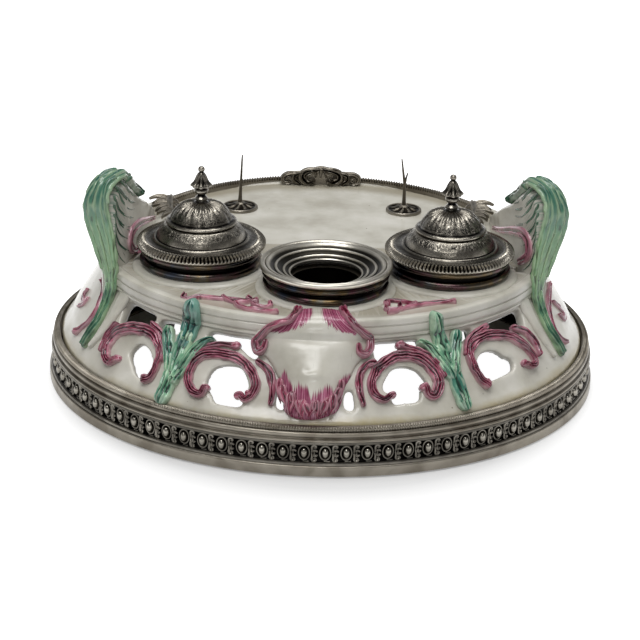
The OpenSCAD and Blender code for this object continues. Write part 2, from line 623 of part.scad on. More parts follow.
module lid_cap(side) {
  color(silver) at_well(side, cap_z) rotate_extrude() polygon([
    [cap_r - 2.6, 0], [cap_r, 0], [cap_r, 1.2], [cap_r - 0.8, 1.6], [0.84 * cap_r, 0.24 * cap_h],
    [0.7 * cap_r, 0.5 * cap_h], [0.5 * cap_r, 0.73 * cap_h], [0.27 * cap_r, 0.87 * cap_h],
    [3.2, 0.92 * cap_h], [3, cap_h], [stud_r + 0.1, cap_h], [stud_r + 0.1, cap_h - 2 * sheet],
    [0.26 * cap_r, 0.77 * cap_h], [0.46 * cap_r, 0.63 * cap_h], [0.65 * cap_r, 0.4 * cap_h], [0.77 * cap_r, 0.16 * cap_h]]);
}
module left_lid_cap() { lid_cap(-1); }
module right_lid_cap() { lid_cap(1); }

// Half outlines of a finial: shares of its widest radius and of its height
finial_line = [[0.45, 0], [0.52, 0.06], [0.33, 0.11], [0.36, 0.15], [0.73, 0.23], [1, 0.35], [0.97, 0.45],
  [0.7, 0.55], [0.48, 0.63], [0.36, 0.68], [0.48, 0.72], [0.45, 0.76], [0.25, 0.8], [0.22, 0.83],
  [0.29, 0.88], [0.28, 0.93], [0.17, 0.98], [0, 1]];
nut_t = 3;
module finial(side) {
  stud_h = cap_h + sheet + nut_t + 1;
  color(silver) at_well(side, finial_z) {
    rotate_extrude() polygon(concat([[0, 0]], [for (p = finial_line) [p[0] * finial_r, p[1] * finial_h]]));
    translate([0, 0, -stud_h]) cylinder(r = stud_r, h = stud_h + 1);
  }
}
module left_finial() { finial(-1); }
module right_finial() { finial(1); }
module finial_nut(side) {
  color(silver) at_well(side, cap_z - sheet - nut_t) difference() {
    cylinder(r = 4, h = nut_t, $fn = 6);
    translate([0, 0, -1]) cylinder(r = stud_r + thread, h = nut_t + 2);
  }
}
module left_finial_nut() { finial_nut(-1); }
module right_finial_nut() { finial_nut(1); }

// Centre well
cup_skirt_r = cup_hole_r - fit_gap;
socket_out = socket_r + skirt_wall;
plate = 1.6;
dish_r = cup_r - 3.7;
module centre_collar() {
  in_r = cup_skirt_r - skirt_wall;
  cup_in = dish_r + fit_gap;
  color(silver) translate([0, cup_y, seat_z]) rotate_extrude() polygon(concat(
    [[in_r, -seat_h - deck_t - nut_h], [cup_skirt_r, -seat_h - deck_t - nut_h], [cup_skirt_r, 0]],
    arc(cup_r - 4, 2, 2, -90, 60),
    [[cup_r - 3.4, 5]],
    arc(cup_r - 3, cup_h - 6, 1.4, -60, 60),
    [[cup_r - 2.4, cup_h - 4], [cup_r, cup_h - 2.4], [cup_r, cup_h - 0.8], [cup_r - 0.8, cup_h],
      [cup_r - 2.4, cup_h], [cup_in, cup_h - 1.2], [cup_in, plate], [in_r, plate]]));
}
module centre_dish() {
  z = cup_h - 0.8;
  hole = socket_r + 0.8;
  color(silver) translate([0, cup_y, seat_z]) rotate_extrude() polygon([
    [dish_r - sheet, plate + lift_gap], [dish_r, plate + lift_gap], [dish_r, z], [dish_r - 1.6, z],
    [dish_r - 5, z - 2.6], [dish_r - 5.4, z - 2], [dish_r - 6.4, z - 2], [dish_r - 6.9, z - 3.6],
    [dish_r - 9.4, z - 4.6], [dish_r - 9.8, z - 4], [dish_r - 10.8, z - 4], [dish_r - 11.3, z - 5.4],
    [hole + 1, z - 6], [hole + 0.8, z - 5.2], [hole, z - 5.2], [hole, z - 7], [dish_r - 10, z - 6.2],
    [dish_r - 6.5, z - 4.6], [dish_r - sheet - 1.2, z - 2.2], [dish_r - sheet, z - 3]]);
}
module centre_socket() {
  color("#2b2a28") translate([0, cup_y, seat_z + plate]) difference() {
    union() {
      cylinder(r = socket_out + 4, h = 1.4);
      translate([0, 0, 1.4 - socket_h - 1.6]) cylinder(r = socket_out, h = socket_h + 1.6);
    }
    translate([0, 0, 1.4 - socket_h]) cylinder(r = socket_r, h = socket_h + 1);
  }
}

base_plinth();
bead_band();
milled_bezel();
faience_body();
front_cartouche();
cartouche_scrolls();
gallery_scrolls();
leaf_sprigs();
deck_scrolls();
side_scrolls();
left_wing();
right_wing();
left_wing_leaf();
right_wing_leaf();
tray_rail();
rail_crest();
left_rail_leaf();
right_rail_leaf();
rail_studs();
left_rosette();
right_rosette();
left_pen_spike();
right_pen_fork();
rosette_nuts();
left_collar();
right_collar();
collar_nuts();
left_ink_pot();
right_ink_pot();
left_lid();
right_lid();
left_lid_cap();
right_lid_cap();
left_finial();
right_finial();
left_finial_nut();
right_finial_nut();
centre_collar();
centre_dish();
centre_socket();
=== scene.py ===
import math

import bpy
import numpy as np
from mathutils import Matrix, Vector, noise


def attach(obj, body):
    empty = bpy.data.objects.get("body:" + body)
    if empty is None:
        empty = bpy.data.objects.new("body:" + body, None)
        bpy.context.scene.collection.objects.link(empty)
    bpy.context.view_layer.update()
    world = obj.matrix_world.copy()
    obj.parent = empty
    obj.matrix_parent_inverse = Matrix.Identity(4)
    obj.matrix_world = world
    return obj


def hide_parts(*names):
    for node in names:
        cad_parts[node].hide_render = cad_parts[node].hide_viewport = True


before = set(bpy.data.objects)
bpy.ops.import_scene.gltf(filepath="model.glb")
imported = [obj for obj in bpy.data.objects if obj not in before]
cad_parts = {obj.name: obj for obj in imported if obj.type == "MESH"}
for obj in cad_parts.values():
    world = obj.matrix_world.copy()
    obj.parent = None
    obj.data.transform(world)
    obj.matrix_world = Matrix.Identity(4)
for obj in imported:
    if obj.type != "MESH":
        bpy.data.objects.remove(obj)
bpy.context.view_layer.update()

bpy.context.scene.view_settings.view_transform = "Standard"

# Camera: a long lens, a little to the left of the middle and 22 degrees above the desk. Its place was
# fitted to the photo.
bpy.ops.object.select_all(action="DESELECT")
bpy.ops.object.camera_add()
camera = bpy.context.object
camera.name = "camera"
camera.data.sensor_width = 36
camera.data.lens = 110.81
camera.matrix_world = Matrix((
    (0.99958, -0.01783, -0.02263, -0.02826),
    (-0.01423, 0.37744, -0.92592, -1.11110),
    (0.02505, 0.92586, 0.37703, 0.48314),
    (0, 0, 0, 1)))
bpy.context.scene.camera = camera

# Foot of the mount: silver-plated brass, drawn into an oval hoop with a plain satin fascia and an
# inner ledge that the pottery stands on. It is turned as a ring and pressed oval.
MM = 0.001
OVAL = 153 / 165


def linear(code):
    """An sRGB hex colour as linear RGBA."""
    parts = [int(code[i:i + 2], 16) / 255 for i in (1, 3, 5)]
    return [c / 12.92 if c <= 0.04045 else ((c + 0.055) / 1.055) ** 2.4 for c in parts] + [1]


def node(material, kind, sockets=None, stops=None, **settings):
    """Adds one shader node with its settings. A socket takes a value, an output or a node, which gives its
    first output. Stops are those of a colour ramp, in hex or as a grey."""
    made = material.node_tree.nodes.new(kind)
    for name, value in settings.items():
        setattr(made, name, value)
    for name, value in (sockets or {}).items():
        if isinstance(value, bpy.types.Node):
            value = value.outputs[0]
        if isinstance(value, bpy.types.NodeSocket):
            material.node_tree.links.new(value, made.inputs[name])
        else:
            made.inputs[name].default_value = value
    if stops:
        band = made.color_ramp
        while len(band.elements) < len(stops):
            band.elements.new(0.5)
        for element, (place, colour) in zip(band.elements, stops):
            element.position = place
            element.color = linear(colour) if isinstance(colour, str) else [colour] * 3 + [1]
    return made


def layered(material, ground, coats):
    """Lays coats over a ground colour; each coat is (amount, colour, blend)."""
    for amount, colour, blend in coats:
        colour = linear(colour) if isinstance(colour, str) else colour
        ground = node(material, "ShaderNodeMix", {0: amount, 6: ground, 7: colour},
                      data_type="RGBA", blend_type=blend).outputs[2]
    return ground


def start_material(name, **constants):
    """A new material with its surface shader; the constants are the shader's own sockets."""
    material = bpy.data.materials.new(name)
    material.use_nodes = True
    shader = material.node_tree.nodes["Principled BSDF"]
    for socket, value in constants.items():
        shader.inputs[socket.replace("_", " ")].default_value = value
    return material, shader


def join(material, shader, **sources):
    """Links nodes to the surface shader's sockets."""
    for socket, source in sources.items():
        output = source.outputs[0] if isinstance(source, bpy.types.Node) else source
        material.node_tree.links.new(output, shader.inputs[socket.replace("_", " ")])


def plated(name, bright, dull, black, rough, stain_and_reflection=None, grain=0.1):
    """Worn silver plate: bright where hands rub it, brown-grey between, black in the recesses and in chased
    lines. Its clouds are about 14 mm wide; the grain is drawn at 1 mm, coarser than real, so that it shows."""
    material, shader = start_material(name, Metallic=1.0)
    place = node(material, "ShaderNodeTexCoord").outputs["Object"]
    cloud = node(material, "ShaderNodeTexNoise", {"Vector": place, "Scale": 70.0, "Detail": 5.0, "Roughness": 0.6})
    fine = node(material, "ShaderNodeTexNoise", {"Vector": place, "Scale": 900.0, "Detail": 3.0})
    hollow = node(material, "ShaderNodeAttribute", attribute_name="cavity").outputs["Fac"]
    chased = node(material, "ShaderNodeAttribute", attribute_name="chased").outputs["Fac"]
    bend = node(material, "ShaderNodeTexNoise", {"Vector": place, "Scale": 420.0}).outputs["Color"]
    bent = node(material, "ShaderNodeMix", {0: 0.012, 4: place, 5: bend}, data_type="VECTOR").outputs[1]
    scrolls = node(material, "ShaderNodeTexVoronoi", {"Vector": bent, "Scale": 330.0}, feature="DISTANCE_TO_EDGE")
    lines = node(material, "ShaderNodeValToRGB", {"Fac": scrolls}, [(0.08, 1.0), (0.22, 0.0)])
    cut = node(material, "ShaderNodeMath", {0: chased, 1: lines}, operation="MULTIPLY")
    sunk = node(material, "ShaderNodeValToRGB", {"Fac": hollow}, [(0.51, 0.0), (0.64, 1.0)])
    proud = node(material, "ShaderNodeValToRGB", {"Fac": hollow}, [(0.3, 0.5), (0.48, 0.0)])
    coats = [(cut, black, "MIX"), (sunk, black, "MIX"), (proud, bright, "SCREEN")]
    # The stain patches are tarnish; on the collars' plate they also hold painted reflection.
    if stain_and_reflection:
        patch = node(material, "ShaderNodeTexNoise", {"Vector": place, "Scale": 34.0, "Detail": 2.0,
                                                      "Distortion": 1.2})
        coats.insert(0, (0.8, node(material, "ShaderNodeValToRGB", {"Fac": patch}, stain_and_reflection), "MIX"))
    ground = node(material, "ShaderNodeValToRGB", {"Fac": cloud}, [(0.34, dull), (0.66, bright)])
    height = node(material, "ShaderNodeMath", {0: fine, 1: cut}, operation="SUBTRACT")
    join(material, shader, Base_Color=layered(material, ground, coats),
         Roughness=node(material, "ShaderNodeMapRange", {"Value": cloud, "From Min": 0.3, "From Max": 0.7,
                                                         "To Min": rough + 0.14, "To Max": rough}),
         Normal=node(material, "ShaderNodeBump", {"Height": height, "Strength": grain, "Distance": 0.0004}))
    return material


def only(obj):
    """Selects one object and nothing else."""
    bpy.ops.object.select_all(action="DESELECT")
    obj.select_set(True)
    bpy.context.view_layer.objects.active = obj


def mark(obj, name, values):
    """Stores one number for each point of a piece, which its finish reads."""
    layer = obj.data.attributes.new(name, "FLOAT", "POINT")
    layer.data.foreach_set("value", np.array(values, np.float32))


def cavity(obj, reach):
    """Stores how deep each point lies below its surroundings, from 0 proud to 1 sunk; 0.5 is level. A depth of
    reach, in mm, counts as full; the surroundings are the piece's own shape, averaged six times."""
    mesh = obj.data
    count = len(mesh.vertices)
    co = np.empty(count * 3)
    mesh.vertices.foreach_get("co", co)
    co = co.reshape(-1, 3)
    ends = np.empty(len(mesh.edges) * 2, int)
    mesh.edges.foreach_get("vertices", ends)
    a, b = ends[0::2], ends[1::2]
    degree = np.maximum(np.bincount(ends, minlength=count), 1)[:, None]
    soft = co.copy()
    for _ in range(6):
        total = np.zeros_like(soft)
        for axis in range(3):
            total[:, axis] = (np.bincount(a, soft[b, axis], count) + np.bincount(b, soft[a, axis], count))
        soft = total / degree
    normals = np.empty(count * 3)
    mesh.vertices.foreach_get("normal", normals)
    depth = ((soft - co) * normals.reshape(-1, 3)).sum(1) / (reach * MM)
    mark(obj, "cavity", np.clip(0.5 + 0.5 * depth, 0, 1))


def close_up(obj, weld=True):
    """Merges a piece's doubled points and turns its faces outwards."""
    only(obj)
    bpy.ops.object.mode_set(mode="EDIT")
    bpy.ops.mesh.select_all(action="SELECT")
    if weld:
        bpy.ops.mesh.remove_doubles(threshold=1e-6)
    bpy.ops.mesh.normals_make_consistent(inside=False)
    bpy.ops.object.mode_set(mode="OBJECT")


def settle(obj, material, nodes=(), body="stand", angle=38, reach=1.2, weld=True):
    """Closes a piece, smooths it, gives it its finish and seats it on its body."""
    close_up(obj, weld)
    bpy.ops.object.shade_smooth_by_angle(angle=math.radians(angle))
    cavity(obj, reach)
    obj.data.materials.clear()
    obj.data.materials.append(material)
    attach(obj, body)
    if nodes:
        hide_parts(*nodes)
    return obj


def eased(outline):
    """Cuts the corners of a closed outline, as polishing does."""
    cut = []
    for (ax, ay), (bx, by) in zip(outline, outline[1:] + outline[:1]):
        cut += [(0.8 * ax + 0.2 * bx, 0.8 * ay + 0.2 * by), (0.2 * ax + 0.8 * bx, 0.2 * ay + 0.8 * by)]
    return cut


def turned(name, outline, centre=(0, 0), lift=0, steps=144, squash=1.0, closed=True):
    """A ring spun from an outline of [radius, height] in mm, pressed oval if squash is below 1."""
    count = len(outline)
    mesh = bpy.data.meshes.new(name)
    edges = [(i, (i + 1) % count) for i in range(count if closed else count - 1)]
    mesh.from_pydata([(r * MM, 0, (z + lift) * MM) for r, z in outline], edges, [])
    obj = bpy.data.objects.new(name, mesh)
    bpy.context.collection.objects.link(obj)
    only(obj)
    bpy.ops.object.mode_set(mode="EDIT")
    bpy.ops.mesh.select_all(action="SELECT")
    bpy.ops.mesh.spin(steps=steps, angle=2 * math.pi, center=(0, 0, 0), axis=(0, 0, 1))
    bpy.ops.mesh.select_all(action="SELECT")
    bpy.ops.mesh.remove_doubles(threshold=1e-6)
    bpy.ops.transform.resize(value=(1, squash, 1), center_override=(0, 0, 0))
    bpy.ops.transform.translate(value=(centre[0] * MM, centre[1] * MM, 0))
    bpy.ops.object.mode_set(mode="OBJECT")
    return obj


# Satin silver plate, rubbed by years of polishing: a soft grey sheen, with brown tarnish in patches of 30 mm.
satin_plate = plated("satin_silver_plate", "#827d73", "#554f46", "#1c1813", 0.34,
                     stain_and_reflection=[(0.38, "#4e463b"), (0.5, "#716b61"), (0.62, "#807a6f")], grain=0.3)

foot = turned("plated_foot", eased([
    (146.3, 0), (164.9, 0), (164.9, 5.4), (164.6, 6.6), (163.4, 7), (159, 7), (159, 20.5), (157.2, 20.5),
    (157.2, 18), (146.3, 18), (146.3, 16), (155.2, 16), (155.2, 2), (146.3, 2)]), steps=240, squash=OVAL)
settle(foot, satin_plate, ["base_plinth"], angle=30)

# Bead band: a stamped strip soldered round the foot. Oval beads lie in round bezels, with small leaf
# scrolls between them; polishing has left the ground black and the beads bright.

# Silver plate left unpolished, almost black between the scrolls, and silver plate worn to a mirror on the
# beads, which catch the lamps.
dark_plate = plated("blackened_silver_plate", "#6f6b63", "#3c3934", "#0c0b0a", 0.3, grain=0.3)
bead_plate = plated("polished_bead_plate", "#8f8b82", "#5d5951", "#191714", 0.12, grain=0.04)
BEADS = 88


def mesh_arrays(obj):
    """The points and faces of an object, which is then deleted."""
    points = [tuple(obj.matrix_world @ v.co) for v in obj.data.vertices]
    faces = [tuple(f.vertices) for f in obj.data.polygons]
    bpy.data.objects.remove(obj, do_unlink=True)
    return points, faces


def merged(parts):
    """Several (points, faces) as one."""
    points, faces = [], []
    for p, f in parts:
        start = len(points)
        points += [tuple(q) for q in p]
        faces += [tuple(i + start for i in face) for face in f]
    return points, faces


def from_arrays(name, points, faces):
    """An object at the origin from points in metres and faces."""
    mesh = bpy.data.meshes.new(name)
    mesh.from_pydata(points, [], faces)
    obj = bpy.data.objects.new(name, mesh)
    bpy.context.collection.objects.link(obj)
    return obj


def wire(points, radius):
    """A small round wire through points, tapered at both ends, as points and faces."""
    bpy.ops.curve.primitive_nurbs_path_add(location=(0, 0, 0))
    curve = bpy.context.object
    data = curve.data
    data.splines.clear()
    spline = data.splines.new("NURBS")
    spline.points.add(len(points) - 1)
    for i, (point, at) in enumerate(zip(spline.points, points)):
        point.co = (*at, 1)
        point.radius = 0.45 + 0.8 * math.sin(math.pi * (0.15 + 0.7 * i / (len(points) - 1)))
    spline.use_endpoint_u = True
    spline.order_u = 3
    data.resolution_u = 2
    data.bevel_depth = radius
    data.bevel_resolution = 1
    data.use_fill_caps = True
    only(curve)
    bpy.ops.object.convert(target="MESH")
    return mesh_arrays(bpy.context.object)


bpy.ops.object.select_all(action="DESELECT")
bpy.ops.mesh.primitive_uv_sphere_add(segments=12, ring_count=8, radius=1)
bead = bpy.context.object
bead.scale = (2.0, 2.2, 3.1)
bpy.ops.object.transform_apply(location=False, rotation=False, scale=True)
bead_unit = mesh_arrays(bead)
bpy.ops.mesh.primitive_torus_add(major_segments=18, minor_segments=6, major_radius=3.0, minor_radius=0.42,
                                 rotation=(math.pi / 2, 0, 0))
bezel_ring = bpy.context.object
bpy.ops.object.transform_apply(location=False, rotation=True, scale=False)
bezel_ring.scale = (1, 1, 1.38)
bpy.ops.object.transform_apply(location=False, rotation=False, scale=True)
leafage = [mesh_arrays(bezel_ring)]
for way in (-1, 1):
    leafage.append(wire([(4.2, 0.2, way * 0.3), (4.6, 0.6, way * 1.9), (4.1, 0.6, way * 3.6),
                         (5.2, 0.7, way * 5.0), (6.7, 0.6, way * 4.2), (6.1, 0.5, way * 2.9),
                         (5.4, .5, way * 3.5)], 0.62))
    leafage.append(wire([(5.6, 0.2, way * 0.2), (5.3, 0.6, way * 1.5), (6.3, 0.6, way * 1.9),
                         (7.2, 0.5, way * 0.9)], 0.6))
    leafage.append(wire([(-0.6, 0.3, way * 4.9), (1.2, 0.6, way * 5.4), (2.6, 0.4, way * 4.9)], 0.45))


def round_band(name, part, lift):
    """Copies one part of the band's pattern all round the oval, once for each bead."""
    points, faces = part
    points = np.array(points)
    copies = []
    for i in range(BEADS):
        q = 2 * math.pi * i / BEADS
        spot = np.array([160.2 * math.cos(q), 160.2 * OVAL * math.sin(q), 13.75])
        out = np.array([OVAL * math.cos(q), math.sin(q), 0])
        out /= np.linalg.norm(out)
        side = np.array([-out[1], out[0], 0])
        local = (spot + points[:, :1] * side + (points[:, 1:2] + lift) * out
                 + points[:, 2:] * np.array([0, 0, 1]))
        copies.append((local * MM, faces))
    return from_arrays(name, *merged(copies))


beads = round_band("oval_beads", bead_unit, 1.3)
settle(beads, bead_plate, reach=4)
band = round_band("leaf_and_bezel_band", merged(leafage), 0.9)
wall = turned("band_wall", [(159, 7), (163.9, 7), (164, 7.6), (163.6, 8.3), (161.6, 8.9), (160.4, 10), (160.2, 11),
                            (160.2, 16.6), (160.4, 17.6), (161.6, 18.6), (163.2, 19.2), (163.6, 19.9),
                            (163.3, 20.5), (159, 20.5)], steps=240, squash=OVAL)
only(band)
wall.select_set(True)
bpy.ops.object.join()
settle(band, dark_plate, ["bead_band"], reach=0.8)

# Bezel: two rolled mouldings of plated brass over the band. The upper one is milled with fine slanting
# teeth, about 1.4 mm apart, and is turned in over the pottery's foot to hold it.
moulding = turned("rolled_bezel", eased([
    (157.3, 20.5), (163.2, 20.5), (163.3, 21.6), (162.4, 22.0), (161.7, 22.3), (161.6, 22.8), (162.2, 23.1),
    (162.6, 24.2), (162.2, 25.3), (161.2, 25.9), (159.6, 26.2), (157.3, 26.2)]), steps=240, squash=OVAL)
settle(moulding, satin_plate, ["milled_bezel"], angle=30)
TEETH = 700
ring_steps = 4 * TEETH
sweep = np.arange(ring_steps) * 2 * math.pi / ring_steps
milled_points, milled_faces = [], []
section = [(-1.6, -0.2), (1.1, -0.1), (1.7, 0.6), (1.6, 1.4), (0.9, 2.2), (-0.1, 2.6), (-1.6, 2.6)]
for k, (out, up) in enumerate(section):
    tooth = 0.45 * np.cos(sweep * TEETH + 0.9 * k) * (1 if 1 <= k <= 5 else 0)
    r = 159.9 + out + tooth
    milled_points += list(zip(r * np.cos(sweep) * MM, r * OVAL * np.sin(sweep) * MM,
                              (26.3 + up + 0.5 * tooth * (k > 2)) * MM * np.ones(ring_steps)))
for k in range(len(section)):
    a, b = k * ring_steps, (k + 1) % len(section) * ring_steps
    milled_faces += [(a + i, a + (i + 1) % ring_steps, b + (i + 1) % ring_steps, b + i) for i in range(ring_steps)]
milling = from_arrays("milled_edge", milled_points, milled_faces)
settle(milling, satin_plate, reach=0.7, angle=60)

# Pottery body: buff earthenware, pressed in a mould, with the front cut through while it was soft, then
# covered with a thick tin glaze that fires milky white; grey painted shade darkens its corners.
BASE_A, DECK_A, RIM_Z, RISE, BACK = 157, 133, 29, 36.5, 9
ROW_STEPS = 180


def shell(t, s, out=0.0):
    """A point on the body's outside: bearing t in degrees, climb s from the mount to the ledge."""
    h = min(max(s, 0), 1)
    a = BASE_A + (DECK_A - BASE_A) * h + (1.5 if s > 1 else 0)
    q = math.radians(t)
    point = np.array([a * math.cos(q), a * OVAL * math.sin(q) + BACK * h, RIM_Z + RISE * s])
    return point + out * shell_out(t, s) if out else point


def shell_out(t, s):
    """The direction that the body's outside faces."""
    q = math.radians(t)
    if s > 1:
        n = np.array([OVAL * math.cos(q), math.sin(q), 0])
    else:
        s = min(max(s, 0), 0.97)
        n = np.cross(shell(t + 1, s) - shell(t - 1, s), shell(t, s + 0.02) - shell(t, s))
    return n / np.linalg.norm(n)


def run(stops, steps=4, closed=False):
    """A smooth line through given stops, each a row of numbers."""
    p = np.array(stops, float)
    p = np.vstack([p[-1:], p, p[:2]]) if closed else np.vstack([p[:1], p, p[-1:]])
    line = []
    for i in range(1, len(p) - 2):
        a, b, c, d = p[i - 1:i + 3]
        for j in range(steps):
            t = j / steps
            line.append(0.5 * (2 * b + (c - a) * t + (2 * a - 5 * b + 4 * c - d) * t * t
                               + (3 * b - a - 3 * c + d) * t ** 3))
    if not closed:
        line.append(p[-2])
    return np.array(line)


def rings(rows, caps=True):
    """Points and faces of a skin over rings with equal counts."""
    n, m = len(rows[0]), len(rows)
    points = [tuple(np.array(p) * MM) for row in rows for p in row]
    faces = [(i * n + k, i * n + (k + 1) % n, (i + 1) * n + (k + 1) % n, (i + 1) * n + k)
             for i in range(m - 1) for k in range(n)]
    if caps:
        faces += [tuple(range(n)), tuple(range((m - 1) * n, m * n))]
    return points, faces


def oval_row(a, z, back=0):
    """A level oval ring of points with half-width a at height z, in mm."""
    q = np.arange(ROW_STEPS) * 2 * math.pi / ROW_STEPS
    return list(zip(a * np.cos(q), a * OVAL * np.sin(q) + back, np.full(ROW_STEPS, z)))


# Tin glaze: opaque white with grey painted shade in the corners, buff stains above the mount and a few brown pits.
# It gives the eye a soft milky gloss.
tin_glaze, tin_shader = start_material("white_tin_glaze", Roughness=0.24, IOR=1.5, Coat_Weight=0.22,
                                       Coat_Roughness=0.09)
spot = node(tin_glaze, "ShaderNodeTexCoord").outputs["Object"]
milk, stains, pit_place, swell = (
    node(tin_glaze, "ShaderNodeTexNoise", {"Vector": spot, "Scale": scale, "Detail": detail, "Roughness": rough})
    for scale, detail, rough in ((45.0, 4.0, 0.5), (22.0, 6.0, 0.7), (60.0, 2.0, 0.5), (95.0, 2.0, 0.5)))
low = node(tin_glaze, "ShaderNodeSeparateXYZ", {0: spot}).outputs["Z"]
foot_band = node(tin_glaze, "ShaderNodeMapRange", {"Value": low, "From Min": 0.036, "From Max": 0.029})
stained = node(tin_glaze, "ShaderNodeMath", {0: foot_band, 1: stains}, operation="MULTIPLY")
pits = node(tin_glaze, "ShaderNodeTexVoronoi", {"Vector": spot, "Scale": 160.0, "Randomness": 1.0})
pit = node(tin_glaze, "ShaderNodeMath", {
    0: node(tin_glaze, "ShaderNodeValToRGB", {"Fac": pits}, [(0.05, 1.0), (0.085, 0.0)]),
    1: node(tin_glaze, "ShaderNodeValToRGB", {"Fac": pit_place}, [(0.6, 0.0), (0.66, 1.0)])}, operation="MULTIPLY")
glaze_coats = [(node(tin_glaze, "ShaderNodeValToRGB", {"Fac": stained}, [(0.3, 0.0), (0.6, 0.85)]), "#a3966f",
                "MIX"),
               (pit, "#4b4032", "MIX")]
uv = node(tin_glaze, "ShaderNodeUVMap", uv_map="brush").outputs["UV"]
stretched = node(tin_glaze, "ShaderNodeMapping", {"Vector": uv, "Scale": (0.9, 9.0, 1.0)})
brush = node(tin_glaze, "ShaderNodeTexNoise", {"Vector": stretched, "Scale": 1.0, "Detail": 4.0,
                                               "Roughness": 0.55})
reach = node(tin_glaze, "ShaderNodeMath", {0: brush, 1: 1.3}, operation="MULTIPLY")
for wash, stops in (
        ("green_wash", [(0.3, "#2c5443"), (0.45, "#5d8a72"), (0.6, "#94b59b"), (0.72, "#b9c4b2")]),
        ("puce_wash", [(0.34, "#4a1428"), (0.44, "#7a2e4b"), (0.54, "#a05773"), (0.64, "#c391a2"),
                       (0.74, "#cfb7b8")]),
        ("grey_wash", [(0.3, "#5b5951"), (0.7, "#8f8b80")])):
    amount = node(tin_glaze, "ShaderNodeAttribute", attribute_name=wash).outputs["Fac"]
    wet = node(tin_glaze, "ShaderNodeMath", {0: amount, 1: reach}, operation="SUBTRACT")
    wet = node(tin_glaze, "ShaderNodeMapRange", {"Value": wet, "From Min": -0.42, "From Max": -0.1})
    glaze_coats.append((wet, node(tin_glaze, "ShaderNodeValToRGB", {"Fac": brush}, stops), "MIX"))
# Painted shade: grey laid over the glaze where the surface is sunk, in corners and creases.
painted_corner_shade = node(tin_glaze, "ShaderNodeAttribute", attribute_name="cavity").outputs["Fac"]
glaze_coats.append((node(tin_glaze, "ShaderNodeValToRGB", {"Fac": painted_corner_shade}, [(0.54, 0.0), (0.8, 0.75)]), "#8c8573",
                    "MIX"))
glaze = node(tin_glaze, "ShaderNodeValToRGB", {"Fac": milk},
             [(0.3, "#aaa69a"), (0.5, "#bcb9ae"), (0.7, "#c8c5bc")])
join(tin_glaze, tin_shader, Base_Color=layered(tin_glaze, glaze, glaze_coats),
     Normal=node(tin_glaze, "ShaderNodeBump", {"Height": swell, "Strength": 0.35, "Distance": 0.0012}))

# The windows' outlines, as [bearing, climb] on the body's outside.
WINDOWS = {
    "left": [
        [(-138.5, .42), (-137.6, .53), (-135.8, .57), (-133.1, .52), (-131.1, .41), (-130.7, .3), (-131.3, .24),
         (-133.3, .18), (-135.1, .22), (-136.8, .31), (-138.1, .36)],
        [(-116.2, .4), (-115.6, .51), (-114, .57), (-111.7, .6), (-109.2, .59), (-107.5, .48), (-106.7, .36),
         (-107.6, .26), (-107.7, .14), (-110.9, .13), (-113.4, .14), (-114.5, .22), (-116, .31)],
        [(-118.9, .9), (-118.4, .96), (-113, .96), (-108, .96), (-106.3, .82), (-105.4, .7), (-108, .75),
         (-110.9, .85), (-113.3, .85), (-116.3, .8), (-118.3, .82)],
        [(-134.2, .9), (-131, .95), (-127.3, .95), (-126.3, .86), (-128.6, .81), (-131, .79), (-133.4, .83)],
        [(-145.4, .6), (-147, .74), (-147.6, .95), (-141, .965), (-136, .95), (-135.3, .87), (-138.6, .76),
         (-142.5, .65)],
        [(-100.1, .41), (-99.2, .39), (-98.5, .16), (-100.2, .18), (-100.4, .28)]],
    "right": [
        [(-76.4, .55), (-75.3, .62), (-73.3, .65), (-70.6, .62), (-68.9, .55), (-67.9, .45), (-67.6, .4),
         (-69.4, .35), (-70.1, .23), (-73.4, .22), (-76, .22), (-75.9, .3), (-76.8, .36), (-77.8, .39),
         (-77.4, .47)],
        [(-78.8, .96), (-72, .96), (-65.2, .96), (-67.3, .92), (-68.4, .86), (-70.6, .87), (-72.5, .9),
         (-73.5, .83), (-75.2, .8), (-77.6, .74), (-78.5, .73), (-78.9, .87)],
        [(-59.4, .94), (-57.4, .96), (-52.3, .96), (-52.3, .91), (-55, .85), (-56.9, .78), (-57.3, .84),
         (-58.8, .9)],
        [(-54.5, .41), (-53.7, .55), (-51.9, .63), (-49.1, .64), (-46.7, .59), (-45.2, .5), (-43.3, .45),
         (-43.8, .34), (-46.4, .31), (-51.9, .29), (-53.1, .35)],
        [(-47.8, .95), (-40, .965), (-33, .95), (-33.2, .84), (-34.4, .73), (-38.6, .7), (-43, .75),
         (-46.8, .83)],
        [(-85.8, .38), (-84.5, .43), (-84.3, .18), (-85.9, .18), (-86.3, .27)]]}

gallery_rows = [oval_row(133, 66.5, BACK), oval_row(133, 65.5, BACK)]
for h in (0.86, 0.7, 0.55, 0.4, 0.28, 0.2, 0.13, 0.06):
    dip = 1.0 * math.sin(math.pi * h / 0.3) if h < 0.3 else 0
    gallery_rows.append(oval_row(BASE_A + (DECK_A - BASE_A) * h - dip, RIM_Z + RISE * h, BACK * h))
gallery_rows += [oval_row(157, 29), oval_row(156.9, 24), oval_row(156.9, 18.1), oval_row(149.9, 18.1),
                 oval_row(150, 29), oval_row(138, 47.25, 4.5), oval_row(126, 62, BACK), oval_row(126, 66.5, BACK)]
gallery_rows.append(gallery_rows[0])
gallery = from_arrays("pierced_gallery", *rings(gallery_rows, caps=False))
cutters = []
for outlines in WINDOWS.values():
    for outline in outlines:
        line = run(outline, 3, closed=True)
        cutters.append(rings([[shell(t, s, out) for t, s in line] for out in (-19, 5)]))
cutter = from_arrays("window_knife", *merged(cutters))
close_up(gallery)
close_up(cutter)


def apply_modifier(obj, kind, **settings):
    """Adds a modifier with its settings and applies it."""
    only(obj)
    modifier = obj.modifiers.new(kind.lower(), kind)
    for name, value in settings.items():
        setattr(modifier, name, value)
    bpy.ops.object.modifier_apply(modifier=modifier.name)


